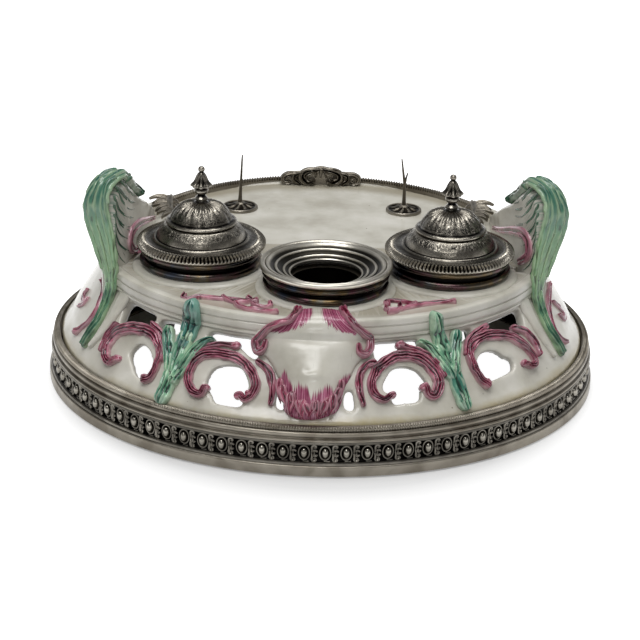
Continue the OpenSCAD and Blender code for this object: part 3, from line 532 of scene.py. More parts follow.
apply_modifier(gallery, "BOOLEAN", operation="DIFFERENCE", object=cutter, solver="EXACT", use_self=True)
bpy.data.objects.remove(cutter, do_unlink=True)
apply_modifier(gallery, "REMESH", mode="VOXEL", voxel_size=1.35 * MM)
apply_modifier(gallery, "SMOOTH", factor=0.5, iterations=5)
settle(gallery, tin_glaze, ["faience_body"], angle=80, reach=4)

# Deck and ledge: the flat top of the body, with a moulded ledge round it, the shallow pen tray behind and
# a raised seat round each well.
WELLS = {"left": (-72.3, -28.7), "right": (72.3, -35.3)}
CUP = (0, -62)
WELL_BORE, CUP_BORE = 29.2, 23.6
DECK_TOP, SEAT_TOP = 76, 78
deck = turned("deck_and_ledge", [
    (0, DECK_TOP), (60, DECK_TOP), (110, DECK_TOP), (126.8, DECK_TOP), (127.6, 76.2), (128.6, 76.9), (129.8, 77.2),
    (132.2, 77.2), (133.4, 76.9), (133.9, 76.2), (134.2, 75), (134.3, 73.7), (133.7, 73.3), (133.7, 72.9),
    (134.3, 72.4), (134.5, 71), (134.5, 69.4), (134.2, 68.6), (133.6, 68.2), (133.7, 67.8), (134.3, 67.4),
    (134.3, 66.4), (133.6, 65.7), (131, 65.4), (126, 66), (124, 70), (0, 70)], centre=(0, BACK), steps=240,
              squash=OVAL, closed=False)
deck_parts = [deck]
for centre, bore in ((WELLS["left"], WELL_BORE), (WELLS["right"], WELL_BORE), (CUP, CUP_BORE)):
    deck_parts.append(turned("seat", [(bore - 2, 72), (bore - 2, 77.8), (bore, SEAT_TOP), (37.5, SEAT_TOP),
                                      (39, 77.7), (40, 76.9), (40.6, 75.6), (40, 74.5), (bore + 2, 72)],
                             centre=centre, steps=96))
only(deck)
for part in deck_parts:
    part.select_set(True)
bpy.ops.object.join()
close_up(deck, weld=False)
for centre, bore, sides in ((WELLS["left"], WELL_BORE, 96), (WELLS["right"], WELL_BORE, 96), (CUP, CUP_BORE, 96),
                            ((-108.6, -25), 5, 3), ((113.6, -28.4), 6, 3)):
    bpy.ops.object.select_all(action="DESELECT")
    bpy.ops.mesh.primitive_cylinder_add(vertices=sides, radius=bore * MM, depth=0.03,
                                        location=(centre[0] * MM, centre[1] * MM, 0.074))
    drill = bpy.context.object
    drill.name = "drill"
    apply_modifier(deck, "BOOLEAN", operation="DIFFERENCE", object=drill, solver="EXACT", use_self=True)
    bpy.data.objects.remove(drill, do_unlink=True)
settle(deck, tin_glaze, angle=20, reach=2.5)

# Scrolls of the gallery: strips of clay laid on round the windows and tooled with a double ridge, then
# painted by brush along their length in manganese puce under the glaze.


def painted(name, stops, pale, seam_and_shade, blot=None, bands=None, combed=1.0):
    """Brushed colour under a clear glaze: streaks along the strip, pale edges and dark lines; the grooves are
    darkened with painted shade and the ridge tops lightened with a painted highlight.
    It gives the eye wet, uneven brush marks about 12 mm long; combed sets how many run side by side. The
    pools of colour are 8 mm wide and the blots 26 mm. Bands are colours by height, 0.22 m to one span."""
    material, shader = start_material(name, Roughness=0.2, IOR=1.5, Coat_Weight=0.4, Coat_Roughness=0.08)
    uv = node(material, "ShaderNodeUVMap", uv_map="brush").outputs["UV"]
    along = node(material, "ShaderNodeMapping", {"Vector": uv, "Scale": (0.8, 5.5 * combed, 1.0)})
    streak = node(material, "ShaderNodeTexNoise", {"Vector": along, "Scale": 1.0, "Detail": 5.0, "Roughness": 0.62,
                                                   "Distortion": 0.3})
    place = node(material, "ShaderNodeTexCoord").outputs["Object"]
    pools = node(material, "ShaderNodeTexNoise", {"Vector": place, "Scale": 120.0, "Detail": 3.0})
    both = node(material, "ShaderNodeMix", {0: 0.4, 2: streak, 3: pools}, data_type="FLOAT")
    coats = []
    if bands:
        high = node(material, "ShaderNodeSeparateXYZ", {0: place}).outputs["Z"]
        high = node(material, "ShaderNodeMath", {0: high, 1: 4.6}, operation="MULTIPLY")
        high = node(material, "ShaderNodeMath", {0: both, 1: 0.4, 2: high}, operation="MULTIPLY_ADD")
        coats.append((0.66, node(material, "ShaderNodeValToRGB", {"Fac": high}, bands), "MIX"))
    if blot:
        patch = node(material, "ShaderNodeTexNoise", {"Vector": place, "Scale": 38.0, "Detail": 1.0})
        coats.append((node(material, "ShaderNodeValToRGB", {"Fac": patch}, [(0.5, 0.0), (0.62, 0.75)]), blot,
                      "MIX"))
    off = node(material, "ShaderNodeSeparateXYZ", {0: uv}).outputs["Y"]
    off = node(material, "ShaderNodeMath", {0: off, 1: 0.5}, operation="SUBTRACT")
    off = node(material, "ShaderNodeMath", {0: off}, operation="ABSOLUTE")
    ragged = node(material, "ShaderNodeMath", {0: both, 1: 0.5, 2: off}, operation="MULTIPLY_ADD")
    finer = node(material, "ShaderNodeMapping", {"Vector": uv, "Location": (7.0, 3.0, 0.0),
                                                 "Scale": (0.5, 9.0 * combed, 1.0)})
    lines = node(material, "ShaderNodeTexNoise", {"Vector": finer, "Scale": 1.0, "Detail": 2.0})
    hollow = node(material, "ShaderNodeAttribute", attribute_name="cavity").outputs["Fac"]
    # The third coat is painted shade, darkening the sunk grooves with the seam colour; the fourth is a painted
    # highlight, lightening the proud ridge tops with the palest colour.
    for source, span, colour in ((ragged, [(0.68, 0.0), (0.76, 0.8)], pale),
                                 (lines, [(0.33, 0.85), (0.41, 0.0)], seam_and_shade),
                                 (hollow, [(0.52, 0.0), (0.64, 0.95)], seam_and_shade),
                                 (hollow, [(0.24, 0.35), (0.4, 0.0)], stops[-1][1])):
        coats.append((node(material, "ShaderNodeValToRGB", {"Fac": source}, span), colour, "MIX"))
    ground = node(material, "ShaderNodeValToRGB", {"Fac": both}, stops)
    join(material, shader, Base_Color=layered(material, ground, coats),
         Normal=node(material, "ShaderNodeBump", {"Height": both, "Strength": 0.4, "Distance": 0.0008}))
    return material


# Manganese puce under the glaze: wine red where the brush was full, pink where it ran dry.
puce = painted("puce_glaze", [(0.36, "#330817"), (0.44, "#5a132b"), (0.52, "#7f2742"), (0.6, "#a9586f"),
                              (0.69, "#d2a6b1")], "#b39c98", "#29060f")
# Copper green under the glaze, soft and watery, and the same with more copper for the wings' leaves.
green = painted("green_glaze", [(0.36, "#1f4133"), (0.44, "#41745a"), (0.52, "#6fa180"), (0.6, "#a2c4a2"),
                                (0.69, "#cddcc2")], "#9dbb9f", "#0e2a20", blot="#2b6a5c", combed=0.6)
leaf_green = painted("leaf_green_glaze", [(0.36, "#16352a"), (0.44, "#346049"), (0.52, "#5c8d6b"),
                                          (0.6, "#8fb58b"), (0.69, "#bdd0a8")], "#82a583", "#0d241a",
                     bands=[(0.38, "#1b4333"), (0.47, "#38684f"), (0.57, "#8ab07c"), (0.66, "#7ba578"),
                            (0.74, "#33675a"), (0.81, "#174a46")], combed=0.5)


def strip(stops, steps=5, lift=2.4, sink=1.2, ridges=2, groove=0.35, columns=14, place=shell, mirror=False,
          wobble=0.1, curl=0.0):
    """A tooled strip of clay. Each stop is [bearing, climb, width] on the shell; with place=None it is
    [x, y, z, outward x, y, z, width]. Wobble is how uneven the hand left it; curl rolls its ends up."""
    line = run(stops, steps)
    if place is not None:
        spots = np.array([place(t, s) for t, s, *_ in line])
        faces_out = np.array([shell_out(t, s) for t, s, *_ in line])
        widths = line[:, 2].copy()
    else:
        spots, faces_out, widths = line[:, :3], line[:, 3:6], line[:, 6].copy()
        faces_out = faces_out / np.linalg.norm(faces_out, axis=1)[:, None]
    along = np.gradient(spots, axis=0)
    along /= np.linalg.norm(along, axis=1)[:, None]
    across = np.cross(faces_out, along)
    across /= np.linalg.norm(across, axis=1)[:, None]
    out = np.cross(along, across)
    travelled = np.concatenate([[0], np.cumsum(np.linalg.norm(np.diff(spots, axis=0), axis=1))]) / 10
    seed = float(spots[0] @ (0.13, 0.29, 0.41))
    ends = np.minimum(travelled, travelled[-1] - travelled) * 10
    raised = 1 + curl * np.clip(1 - ends / 5, 0, 1) ** 2
    widths *= 1 + 0.35 * curl * np.clip(1 - ends / 4, 0, 1)
    rows, uvs = [], []
    xs = np.linspace(-1, 1, columns)
    low = np.linspace(0.8, -0.8, 5)
    turns = [(-1, math.radians(a)) for a in (85, 60, 38, 18)] + [(0, 0)] * len(spots)
    turns += [(1, math.radians(a)) for a in (18, 38, 60, 85)]
    last = len(spots) - 1
    for j, (end, a) in enumerate(turns):
        i = min(max(j - 4, 0), last)
        half, share = widths[i] / 2, (math.cos(a) if end else 1.0)
        u = travelled[i] + end * half * math.sin(a) / 10
        spot = spots[i] + along[i] * end * half * math.sin(a)
        row = []
        for x in xs:
            sway = noise.noise(Vector((u * 1.9, x * 0.8, seed)))
            deep = groove * (0.5 + 0.5 * math.cos(math.pi * (ridges * x + 1.1 * sway))) * (1 - x * x)
            y = math.sqrt(max(0, 1 - x ** 4)) * (1 - deep) * (1 + 2 * wobble * sway)
            edge = half * share * x * (1 + wobble * noise.noise(Vector((u * 2.6, 9 * (x > 0), seed))))
            row.append(spot + across[i] * edge + out[i] * (lift * raised[i] * (0.25 + 0.75 * share) * y))
        row += [spot + across[i] * half * share * x - out[i] * sink for x in low]
        rows.append(row)
        uvs.append([(u, 0.5 + x / 2) for x in xs] + [(u, 0.5 + x / 2) for x in low])
    if mirror:
        rows = [[(-p[0], p[1], p[2]) for p in row] for row in rows]
    points, faces = rings(rows)
    shift = abs(seed) % 5
    return points, faces, [(u + shift, v) for row in uvs for u, v in row]


def strips(name, parts):
    """Several strips as one object, with the brush map."""
    points, faces = merged([(p, f) for p, f, _ in parts])
    obj = from_arrays(name, points, faces)
    flat = np.array([q for _, _, uv in parts for q in uv])
    layer = obj.data.uv_layers.new(name="brush")
    order = np.empty(len(obj.data.loops), int)
    obj.data.loops.foreach_get("vertex_index", order)
    layer.data.foreach_set("uv", flat[order].astype(np.float32).ravel())
    return obj


C_SCROLLS = [
    [(-141.4, .26, 3.4), (-143.1, .2, 4.8), (-145.5, .27, 6.2), (-146.2, .4, 7.4), (-145.1, .56, 8),
     (-142.2, .67, 8), (-138.7, .72, 7.8), (-135.4, .74, 7), (-132.6, .7, 6.4), (-130.4, .61, 6),
     (-129.3, .5, 5.4), (-129.3, .39, 4.8), (-129.5, .28, 4.4), (-130, .21, 4.6), (-130.9, .18, 4.6)],
    [(-116.1, .26, 3.8), (-116.9, .19, 4.6), (-118.6, .21, 5.2), (-120.1, .3, 5.4), (-120.7, .43, 5.6),
     (-120.2, .56, 6), (-118.5, .66, 6.4), (-115.9, .7, 6.8), (-113, .71, 6.8), (-110.1, .69, 6.6),
     (-107.8, .62, 6.4), (-106, .52, 6.2), (-105, .4, 5.6), (-105.6, .29, 5), (-106.7, .22, 4),
     (-107.8, .24, 3.4)],
    [(-76.7, .3, 3.6), (-77.9, .27, 4.4), (-79.4, .32, 5.2), (-80.3, .43, 5.4), (-79.7, .56, 6), (-78.1, .66, 6.4),
     (-76.1, .73, 6.6), (-73.7, .77, 6.6), (-70.9, .76, 6.8), (-68.2, .71, 7.2), (-66.2, .59, 7.6),
     (-65.1, .45, 7.2), (-65.4, .35, 6.8), (-66.6, .27, 6), (-68, .28, 4.8), (-68.4, .36, 3.6)],
    [(-53.7, .26, 5.2), (-54.8, .34, 5.4), (-55.4, .47, 5.6), (-55.6, .61, 5.8), (-54.8, .72, 6),
     (-52.9, .79, 6.4), (-50.2, .82, 6.6), (-46.6, .8, 6.6), (-43.2, .75, 6.6), (-40.6, .67, 6.4),
     (-38.4, .55, 5.8), (-37.2, .43, 5), (-36.8, .31, 4.6), (-38.2, .27, 4.2), (-40.4, .32, 3)]]
THIN_SCROLLS = [
    [(-147.4, .27, 2.3), (-148, .38, 3), (-148, .5, 3), (-146.8, .64, 2.6)],
    [(-135, .84, 3), (-132.6, .8, 4), (-130.2, .72, 3.8), (-128.8, .61, 3.2), (-128.4, .47, 2.4)],
    [(-121.4, .45, 2.6), (-120.9, .6, 3.2), (-119.2, .73, 3.6), (-116, .81, 3.6), (-113.4, .83, 3.2),
     (-111.4, .83, 4)],
    [(-105.2, .68, 3.4), (-103.1, .61, 4.8), (-101.7, .48, 5.2), (-101.2, .34, 4.2), (-101.4, .21, 3)],
    [(-72.3, .9, 4), (-70.5, .86, 3.4), (-68.2, .81, 3.6), (-66, .73, 3.4), (-64.2, .61, 3), (-63.4, .47, 2.4)],
    [(-79.4, .71, 4), (-81.3, .68, 4.4), (-82.8, .55, 4.8), (-82.9, .4, 4.2), (-82.3, .23, 3)],
    [(-56.6, .68, 2.4), (-54.9, .82, 3), (-51.7, .9, 3.4), (-48.6, .92, 3.8)],
    [(-39, .78, 4), (-36, .7, 5.4), (-34.4, .58, 6), (-33.8, .46, 5), (-34.5, .36, 3)]]
SCROLL_KNOBS = [(-130.9, .19, 4.6), (-108.2, .25, 4.8), (-106.2, .3, 3.6), (-68.7, .37, 4.6), (-76.2, .31, 4.4),
                (-131.2, .2, 4), (-40.6, .34, 4.2), (-53.4, .27, 4.6), (-141, .28, 4.4), (-116, .27, 4.4),
                (-111.2, .83, 4.6), (-72.6, .9, 4.6), (-48.4, .92, 4)]
scrolls = strips("painted_c_scrolls",
                 [strip(s, 6, lift=3.2, ridges=4, groove=0.4, columns=24, curl=0.35,
                        wobble=0.18) for s in C_SCROLLS]
                 + [strip(s, 6, lift=2.8, ridges=2, groove=0.4, columns=14, curl=0.3,
                          wobble=0.18) for s in THIN_SCROLLS]
                 + [strip([(t - 0.25, s, w), (t + 0.25, s + 0.008, w)], 3, lift=w * 0.72, ridges=1, groove=0.2,
                          columns=12)
                    for t, s, w in SCROLL_KNOBS])
settle(scrolls, puce, ["gallery_scrolls"], angle=70, reach=0.9)

# Corner posts: rolls of white clay up the two ends of the pierced front, under the wings' leaves. They are
# pressed on by hand and glazed with the body.
posts = strips("corner_posts", [strip(stops, 5, lift=2.2, ridges=1, groove=0.1) for stops in (
    [(-152.4, .24, 3), (-151.2, .4, 5.6), (-150.2, .6, 7.6), (-149.8, .8, 9), (-149.6, 1, 12)],
    [(-28.6, .24, 3), (-29.2, .4, 5.6), (-29.8, .6, 7.6), (-30.2, .8, 9), (-30.2, 1, 12)])])
settle(posts, tin_glaze, angle=70, reach=2.5)

# Cartouche: a swelling shield over the middle of the front, its neck bent back over the ledge. Two curled
# shoulders frame it, and tongues of puce strokes hang from its lower edge.
# Each row: climb on the body, left and right edge from the middle, bulge, how far back and how far turned up.
SHIELD = [[0.045, -5, 2, 1.5, 0, 0], [0.075, -10, 8, 3, 0, 0], [0.14, -13.5, 14.5, 5, 0, 0],
          [0.27, -14.5, 17.5, 6.5, 0, 0], [0.41, -15.5, 18.5, 7.5, 0, 0], [0.55, -18.5, 21.5, 8, 0, 0],
          [0.7, -23, 25, 8, 0, 0], [0.82, -29, 31, 8, 0, 0], [0.95, -31.5, 34, 7.5, 0, 0],
          [1.08, -30.5, 32, 6, 0, 0], [1.2, -23, 27, 5, 0, 0], [1.3, -13.5, 21, 3.5, 2, 0.5],
          [1.31, -11.5, 19.5, 2.5, 7, 1], [1.31, -10.5, 19, 2, 13.5, 1]]
SHIELD_TURN = -3.4


def on_shield(row, x, out):
    """A point over the shield: x is the distance to the right of its middle line."""
    s, _, _, _, back, up = row
    h, turn_up = min(max(s, 0), 1), min(max((s - 0.8) / 0.4, 0), 1)
    a = BASE_A + (DECK_A - BASE_A) * h + 1.5 * turn_up
    t = -math.degrees(math.acos(x / a)) + SHIELD_TURN
    q = math.radians(t)
    lean = shell_out(t, 0.6) * (1 - turn_up) + shell_out(t, 1.2) * turn_up
    lean = np.array([0, 0, 1]) * min(max(up, 0), 1) + lean * (1 - min(max(up, 0), 1))
    spot = np.array([a * math.cos(q), a * OVAL * math.sin(q) + BACK * h + back, RIM_Z + RISE * s])
    return spot + out * lean / np.linalg.norm(lean)


shield_rows, shield_uv, fringe = [], [], []
TOPS = 90
for row in run(SHIELD, 9):
    s, left, right, bulge = row[:4]
    front, back_side = [], []
    for i in range(TOPS + 1):
        f = i / TOPS
        x = left + (right - left) * f
        long_hair = noise.noise(Vector((x * 0.33, 4, s * 0.8)))
        hair = noise.noise(Vector((x * 1.1, 0, s * 1.5)))
        tongue = 0.05 * math.cos(x * 0.62 + 1.9)
        reach_up = 0.42 + 0.22 * abs(2 * f - 1) ** 2 + tongue + 0.12 * long_hair
        inside = min(max((reach_up - s) / 0.2 + 0.25 * hair, 0), 1) if s < 0.9 else 0
        down = 1.33 - 0.24 * min(1, abs(x - 2.5) / 19) + 0.06 * hair
        neck = min(max((s + 0.02 * row[4] - down) / 0.09, 0), 1) * min(1, max(0.15, (abs(x - 2.5) - 1) / 4))
        pucker = 0.8 * math.exp(-((s - 0.52) / 0.05) ** 2 - ((x - 1) / 7) ** 2)
        sunk = 0.35 * math.exp(-((s - 0.56) / 0.03) ** 2 - ((x + 1) / 2) ** 2)
        bump = 0.6 + bulge * math.sin(math.pi * f) ** 0.8 + hair * (0.9 * inside + 0.25 * neck) + pucker - sunk
        front.append(on_shield(row, x, bump))
        shield_uv.append((s * 2.4, x / (6.5 * min(1, (right - left) / 65 if s > 0.9 else 1)) + 0.5))
        fringe.append(max(inside, neck))
    for i in range(8, -1, -1):
        x = left + (right - left) * (0.04 + 0.92 * i / 8)
        back_side.append(on_shield(row, x, -1.5))
        shield_uv.append((s * 2.4, 0.5))
        fringe.append(0)
    shield_rows.append(front + back_side)
shield = strips("front_shield", [(*rings(shield_rows), shield_uv)])
mark(shield, "puce_wash", fringe)
settle(shield, tin_glaze, ["front_cartouche"], angle=70, reach=3, weld=False)


def over(stops, raised=0.0):
    """Stops on the shell as free stops, lifted off it."""
    return [[*shell(t, s, raised), *shell_out(t, min(s, 0.9)), w] for t, s, w in stops]


def tuft(x, s, length, width):
    """One brush-like lock of clay on the shield's lower edge, hanging down."""
    line = []
    for f in (0, 0.3, 0.65, 1):
        row = [s - length * f, 0, 0, 0, 0, 0]
        spot = on_shield(row, x * (1 - 0.12 * f) + 0.8 * math.sin(3 * f + x), 5.6 - 2.4 * f)
        line.append([*spot, *shell_out(-92, 0.3),
                     width * (1 - 0.7 * f * f) * (0.35 + 0.75 * math.sin(math.pi * min(f + 0.22, 1)) ** 0.5)])
    return strip(line, 5, lift=1.9, sink=1.5, ridges=2, groove=0.35, columns=12, place=None, wobble=0.2)


locks = [tuft(x, s, d, w) for x, s, d, w in (
    (-16.6, .44, .24, 4.4), (-13.8, .36, .24, 5.4), (-10.8, .27, .2, 5.6), (-8.4, .3, .17, 4.2),
    (-6, .2, .14, 4.6), (-3.4, .2, .16, 5.4), (-1, .17, .11, 4.6), (1.6, .2, .13, 4.4), (4.4, .2, .14, 5.2),
    (7.4, .2, .13, 5), (10, .24, .15, 4.6), (12.6, .28, .19, 5.2), (15, .36, .2, 4.6), (17.4, .46, .22, 3.8))]
shoulder_stops = (
    ([[-15.8, -103.6, 78.2, 0, 0, 1, 5], [-16.6, -107, 78.6, 0, -.3, 1, 5], [-18, -111.4, 78.6, -.1, -.5, .9, 4.6],
      [-21, -116.4, 77.6, -.1, -.8, .6, 4]],
     [(-100.8, 1.3, 3.4), (-103.3, 1.21, 3.6), (-105.6, 1.02, 4.6), (-106.4, .88, 5), (-105.6, .79, 4.8),
      (-104.3, .82, 4), (-103.9, .9, 3)]),
    ([[9, -102.6, 78.2, 0, 0, 1, 5], [9.6, -106.6, 78.6, 0, -.3, 1, 5], [11, -111.6, 78.6, .1, -.5, .9, 4.6],
      [14, -117.2, 77.6, .1, -.8, .6, 4]],
     [(-83.4, 1.28, 3.4), (-81.3, 1.16, 3.8), (-80, .98, 4.6), (-80.2, .86, 5), (-81.4, .8, 4.8), (-82.6, .83, 4),
      (-82.8, .9, 3)]))
shoulders = strips("shield_shoulders", [
    strip(top + over(down, 4), 6, lift=2.6, sink=3.5, ridges=2, groove=0.25, columns=16, place=None, wobble=.16,
          curl=.3) for top, down in shoulder_stops] + locks)
settle(shoulders, puce, ["cartouche_scrolls"], angle=70, reach=0.9)

# Leaf sprigs: three-lobed leaves between the scrolls, modelled by hand and brushed green; the middle lobe
# rises over the ledge, and on the left it is bluer.

# Copper green with cobalt run into it: dark, cold and glassy.
blue_green = painted("blue_green_glaze", [(0.35, "#08211f"), (0.44, "#103f3a"), (0.53, "#216057"),
                                          (0.61, "#4f8f80"), (0.7, "#a0cbb8")], "#4a7f72", "#051816", combed=0.7)


def sprig(stem, lobes):
    """A leaf's stem and lobes as strips on the shell, which lean off it above the ledge."""
    parts = []
    for stops in [stem] + lobes:
        full = []
        for t, s, w in run(stops, 4):
            rise = min(max((s - 0.86) / 0.3, 0), 1)
            base = shell(t, min(s, 1)) + np.array([0, 0, max(0, s - 1) * RISE])
            face = shell_out(t, 0.6)
            full.append([*(base + face * (0.6 + 3.2 * rise)), *(face + np.array([0, 0, 0.25 * rise])), w])
        parts.append(strip(full, 1, lift=3.6, sink=2.5, ridges=3, groove=0.42, columns=22, place=None, wobble=0.2,
                           curl=0.25))
    return parts


left_low = sprig([(-125, .05, 8.6), (-124.8, .2, 9.4), (-124.7, .36, 9.8), (-124.6, .52, 10.4), (-124.4, .68, 11),
                  (-124, .82, 9)],
                 [[(-125.6, .4, 6), (-127, .58, 7.4), (-128.6, .72, 7.6), (-129.4, .82, 6)],
                  [(-123.6, .28, 6), (-122.2, .5, 6.6), (-120.9, .68, 6.4), (-119.2, .8, 5), (-117.4, .85, 3.2)]])
right_low = sprig([(-60.4, .1, 8), (-60.7, .3, 9.4), (-61.1, .48, 10), (-61.9, .66, 10.4), (-62.3, .81, 10),
                   (-62.7, .95, 9), (-63.3, 1.1, 8.6), (-63.7, 1.22, 6.4)],
                  [[(-62, .46, 6), (-63.4, .66, 6.6), (-65.4, .82, 5.8), (-67.4, .9, 3.6)],
                   [(-60.7, .52, 6.4), (-59.6, .7, 7.4), (-58.4, .84, 7.2), (-57.8, .92, 5.6)]])
settle(strips("green_sprigs", left_low + right_low), green, ["leaf_sprigs"], angle=70)
settle(strips("blue_green_lobe",
              sprig([(-124.2, .74, 8), (-123.9, .86, 10.8), (-123.7, 1.0, 12), (-123.5, 1.12, 11.8),
                     (-123.4, 1.22, 9.5)], [])), blue_green, angle=70)

# Deck scrolls: small twigs of clay lying on the deck in front of the ink wells, their ends curled, brushed
# puce.
def lying(stops, **kinds):
    """A strip that lies on the deck, from stops [x, y, width]."""
    return strip([[x, y, DECK_TOP, 0, 0, 1, w] for x, y, w in run(stops, 3)], 1, place=None, **kinds)


twigs = [lying(twig, lift=2.2, ridges=2, groove=0.4, columns=12, wobble=0.2, curl=0.5) for twig in (
    [(-79.4, -80.6, 2.6), (-80.4, -84, 3.4), (-76.6, -85, 3.6), (-71, -82, 4.4), (-62, -83.2, 4.6),
     (-51, -85, 3.6), (-39, -87.4, 2.4)],
    [(-58, -83, 2.4), (-52, -88.6, 3.2), (-46, -89.4, 3.4), (-42, -86.4, 2.6), (-44, -84.2, 2.4)],
    [(-50.5, -91.6, 2.4), (-48.4, -95.2, 3.4), (-42.4, -99, 4.2), (-35.8, -100.6, 4.2), (-28, -103.1, 2.6)],
    [(-41, -93, 2.4), (-35.6, -95.4, 3), (-31, -93.4, 2.8), (-31.6, -90.6, 2.2)],
    [(72, -83, 2.4), (64, -83.4, 3.4), (55, -86.4, 4.2), (46.6, -90.8, 4.4), (38.6, -96.4, 3.8), (33.6, -96, 3.2),
     (33.4, -92.4, 2.6)],
    [(50, -88, 2.4), (44.4, -84.6, 3.4), (37.6, -82.4, 3.6), (33.2, -84.8, 3.2), (34.6, -88, 2.6)],
    [(41, -88.4, 2.2), (41.2, -92.6, 3), (38.5, -98.5, 3), (34.7, -100.7, 2.4)])]
settle(strips("deck_twigs", twigs), puce, ["deck_scrolls"], angle=70, reach=0.9)

# Side scrolls: a puce line and a knot on each side panel under the wings, and a puce C on the wall of
# each wing beside the lid.
WING_X = 72.3 + 40
# The wings' line, from the front to the back: depth y, how far it bows out, share of the full height, drop of
# the foot below the deck, and share of the full thickness.
WING_LINE = [[-42, 9, .55, -28, .5], [-40, 8.5, .8, -28, .55], [-36, 7, .93, -24, .7], [-31, 4.5, .97, -18, .85],
             [-25, 2.5, .93, -13.5, 1], [-16, .5, .82, -13.5, 1], [-4, -2.5, .66, -13.5, 1],
             [12, -6, .5, -13.5, 1], [30, -8, .33, -13.5, 1], [48, -8, .17, -13.5, .9], [62, -6, .08, -13.5, .75]]


def wing_inner(y):
    """Distance of a wing's inner face from the middle at a depth y."""
    return WING_X + np.interp(y, [r[0] for r in WING_LINE], [r[1] for r in WING_LINE])


def on_wing(side, stops, sunk=0.3):
    """Free stops on a wing's inner face from stops of [depth y, height z, width]."""
    line = []
    for y, z, w in run(stops, 3):
        slope = wing_inner(y + 1) - wing_inner(y)
        line.append([side * (wing_inner(y) + sunk), y, z, -side, slope, 0.05, w])
    return line


side_parts = [
    strip([(-165, .93, 2.4), (-161.2, .87, 4), (-158.8, .7, 4.6), (-158.5, .49, 4.2), (-160.8, .31, 3.6),
           (-162.4, .22, 4.4)], lift=2.2, ridges=2, columns=12, curl=.4),
    strip([(-172, .64, 2), (-172.6, .55, 3.4), (-169.6, .52, 3.4), (-167.7, .6, 3.4), (-168.4, .5, 3),
           (-170.6, .42, 2.4)], lift=1.8, ridges=1, columns=10, curl=.3),
    strip([(-8, .86, 2.6), (-15.6, .8, 4.6), (-20.4, .68, 5), (-22.6, .5, 4.6), (-21.9, .34, 4), (-20, .24, 2.6)],
          lift=2.2, ridges=2, columns=12, curl=.4),
    strip([(-13.6, .7, 2.6), (-11.2, .58, 4), (-9.8, .46, 4), (-12.4, .42, 3.4), (-14.3, .52, 2.4)], lift=1.8,
          ridges=1, columns=10, curl=.3),
    strip([[-110.4, 2, 77, 0, 0, 1, 3], [-112, -6.7, 77.2, .3, 0, 1, 4], [-108.6, -13.4, 76.6, 0, 0, 1, 3.4]], 4,
          lift=1.6, ridges=1, columns=10, place=None)]
side_parts.append(strip(on_wing(-1, [(30, 84, 3), (10, 89.5, 4.6), (-9, 93.4, 6.4), (-20.5, 92, 7.4),
                                     (-23.6, 86.6, 7.4), (-17, 80.4, 6), (-8, 78, 4)]),
                        1, lift=2.2, sink=1.6, ridges=2, columns=14, place=None))
side_parts.append(strip(on_wing(1, [(26, 83, 3), (8, 88, 4.6), (-13, 95.2, 6.4), (-29, 99, 7.4), (-35, 94.6, 7.4),
                                    (-34, 87.2, 6.4), (-26, 80.6, 5)]),
                        1, lift=2.2, sink=1.6, ridges=2, columns=14, place=None))
settle(strips("side_scrolls_painted", side_parts), puce, ["side_scrolls"], angle=70, reach=0.9)

# Wings: two high walls of clay that stand on the deck's ends and sweep down to the back. Their inner faces
# are white and lightly washed with green beside the leaf, and a dark roll of clay lies on the top edge.
SIDES = ((-1, "left"), (1, "right"))
WING_HEIGHT, WING_THICKNESS, CROWN = 53, 15, 4.5
for side, label in SIDES:
    rows, uvs, wash = [], [], []
    for y, off, share, foot_drop, thick in run(WING_LINE, 6):
        x0 = WING_X + off
        x1 = x0 + WING_THICKNESS * thick
        z0, z1 = DECK_TOP + foot_drop, DECK_TOP + WING_HEIGHT * share
        inner = [(x0, z0 + (z1 - CROWN - z0) * f) for f in np.linspace(0, 1, 22)]
        crown = [(x0 + (x1 - x0) * (0.5 - 0.5 * math.cos(math.pi * f)),
                  z1 - CROWN + CROWN * math.sin(math.pi * f) ** 0.7) for f in np.linspace(0.08, 0.92, 12)]
        outer = [(x1, z0 + (z1 - CROWN - z0) * f) for f in np.linspace(1, 0, 10)]
        row = []
        for k, (x, z) in enumerate(inner + crown + outer):
            near = min(max((-14 - y + 0.3 * (z - 100)) / 30, 0), 1) if k < 30 and z > 80 else 0
            swell = 0.5 * noise.noise(Vector((y * 0.12, z * 0.16, side))) if 3 < k < 40 else 0
            row.append((side * (x + swell), y, z))
            uvs.append(((y * 0.55 - z * 0.83) / 10, (y * 0.83 + z * 0.55) / 10))
            wash.append(0.3 * near)
        rows.append(row)
    wing = strips(f"{label}_wing_wall", [(*rings(rows), uvs)])
    mark(wing, "green_wash", wash)
    settle(wing, tin_glaze, [f"{label}_wing"], angle=70, reach=2.5, weld=False)

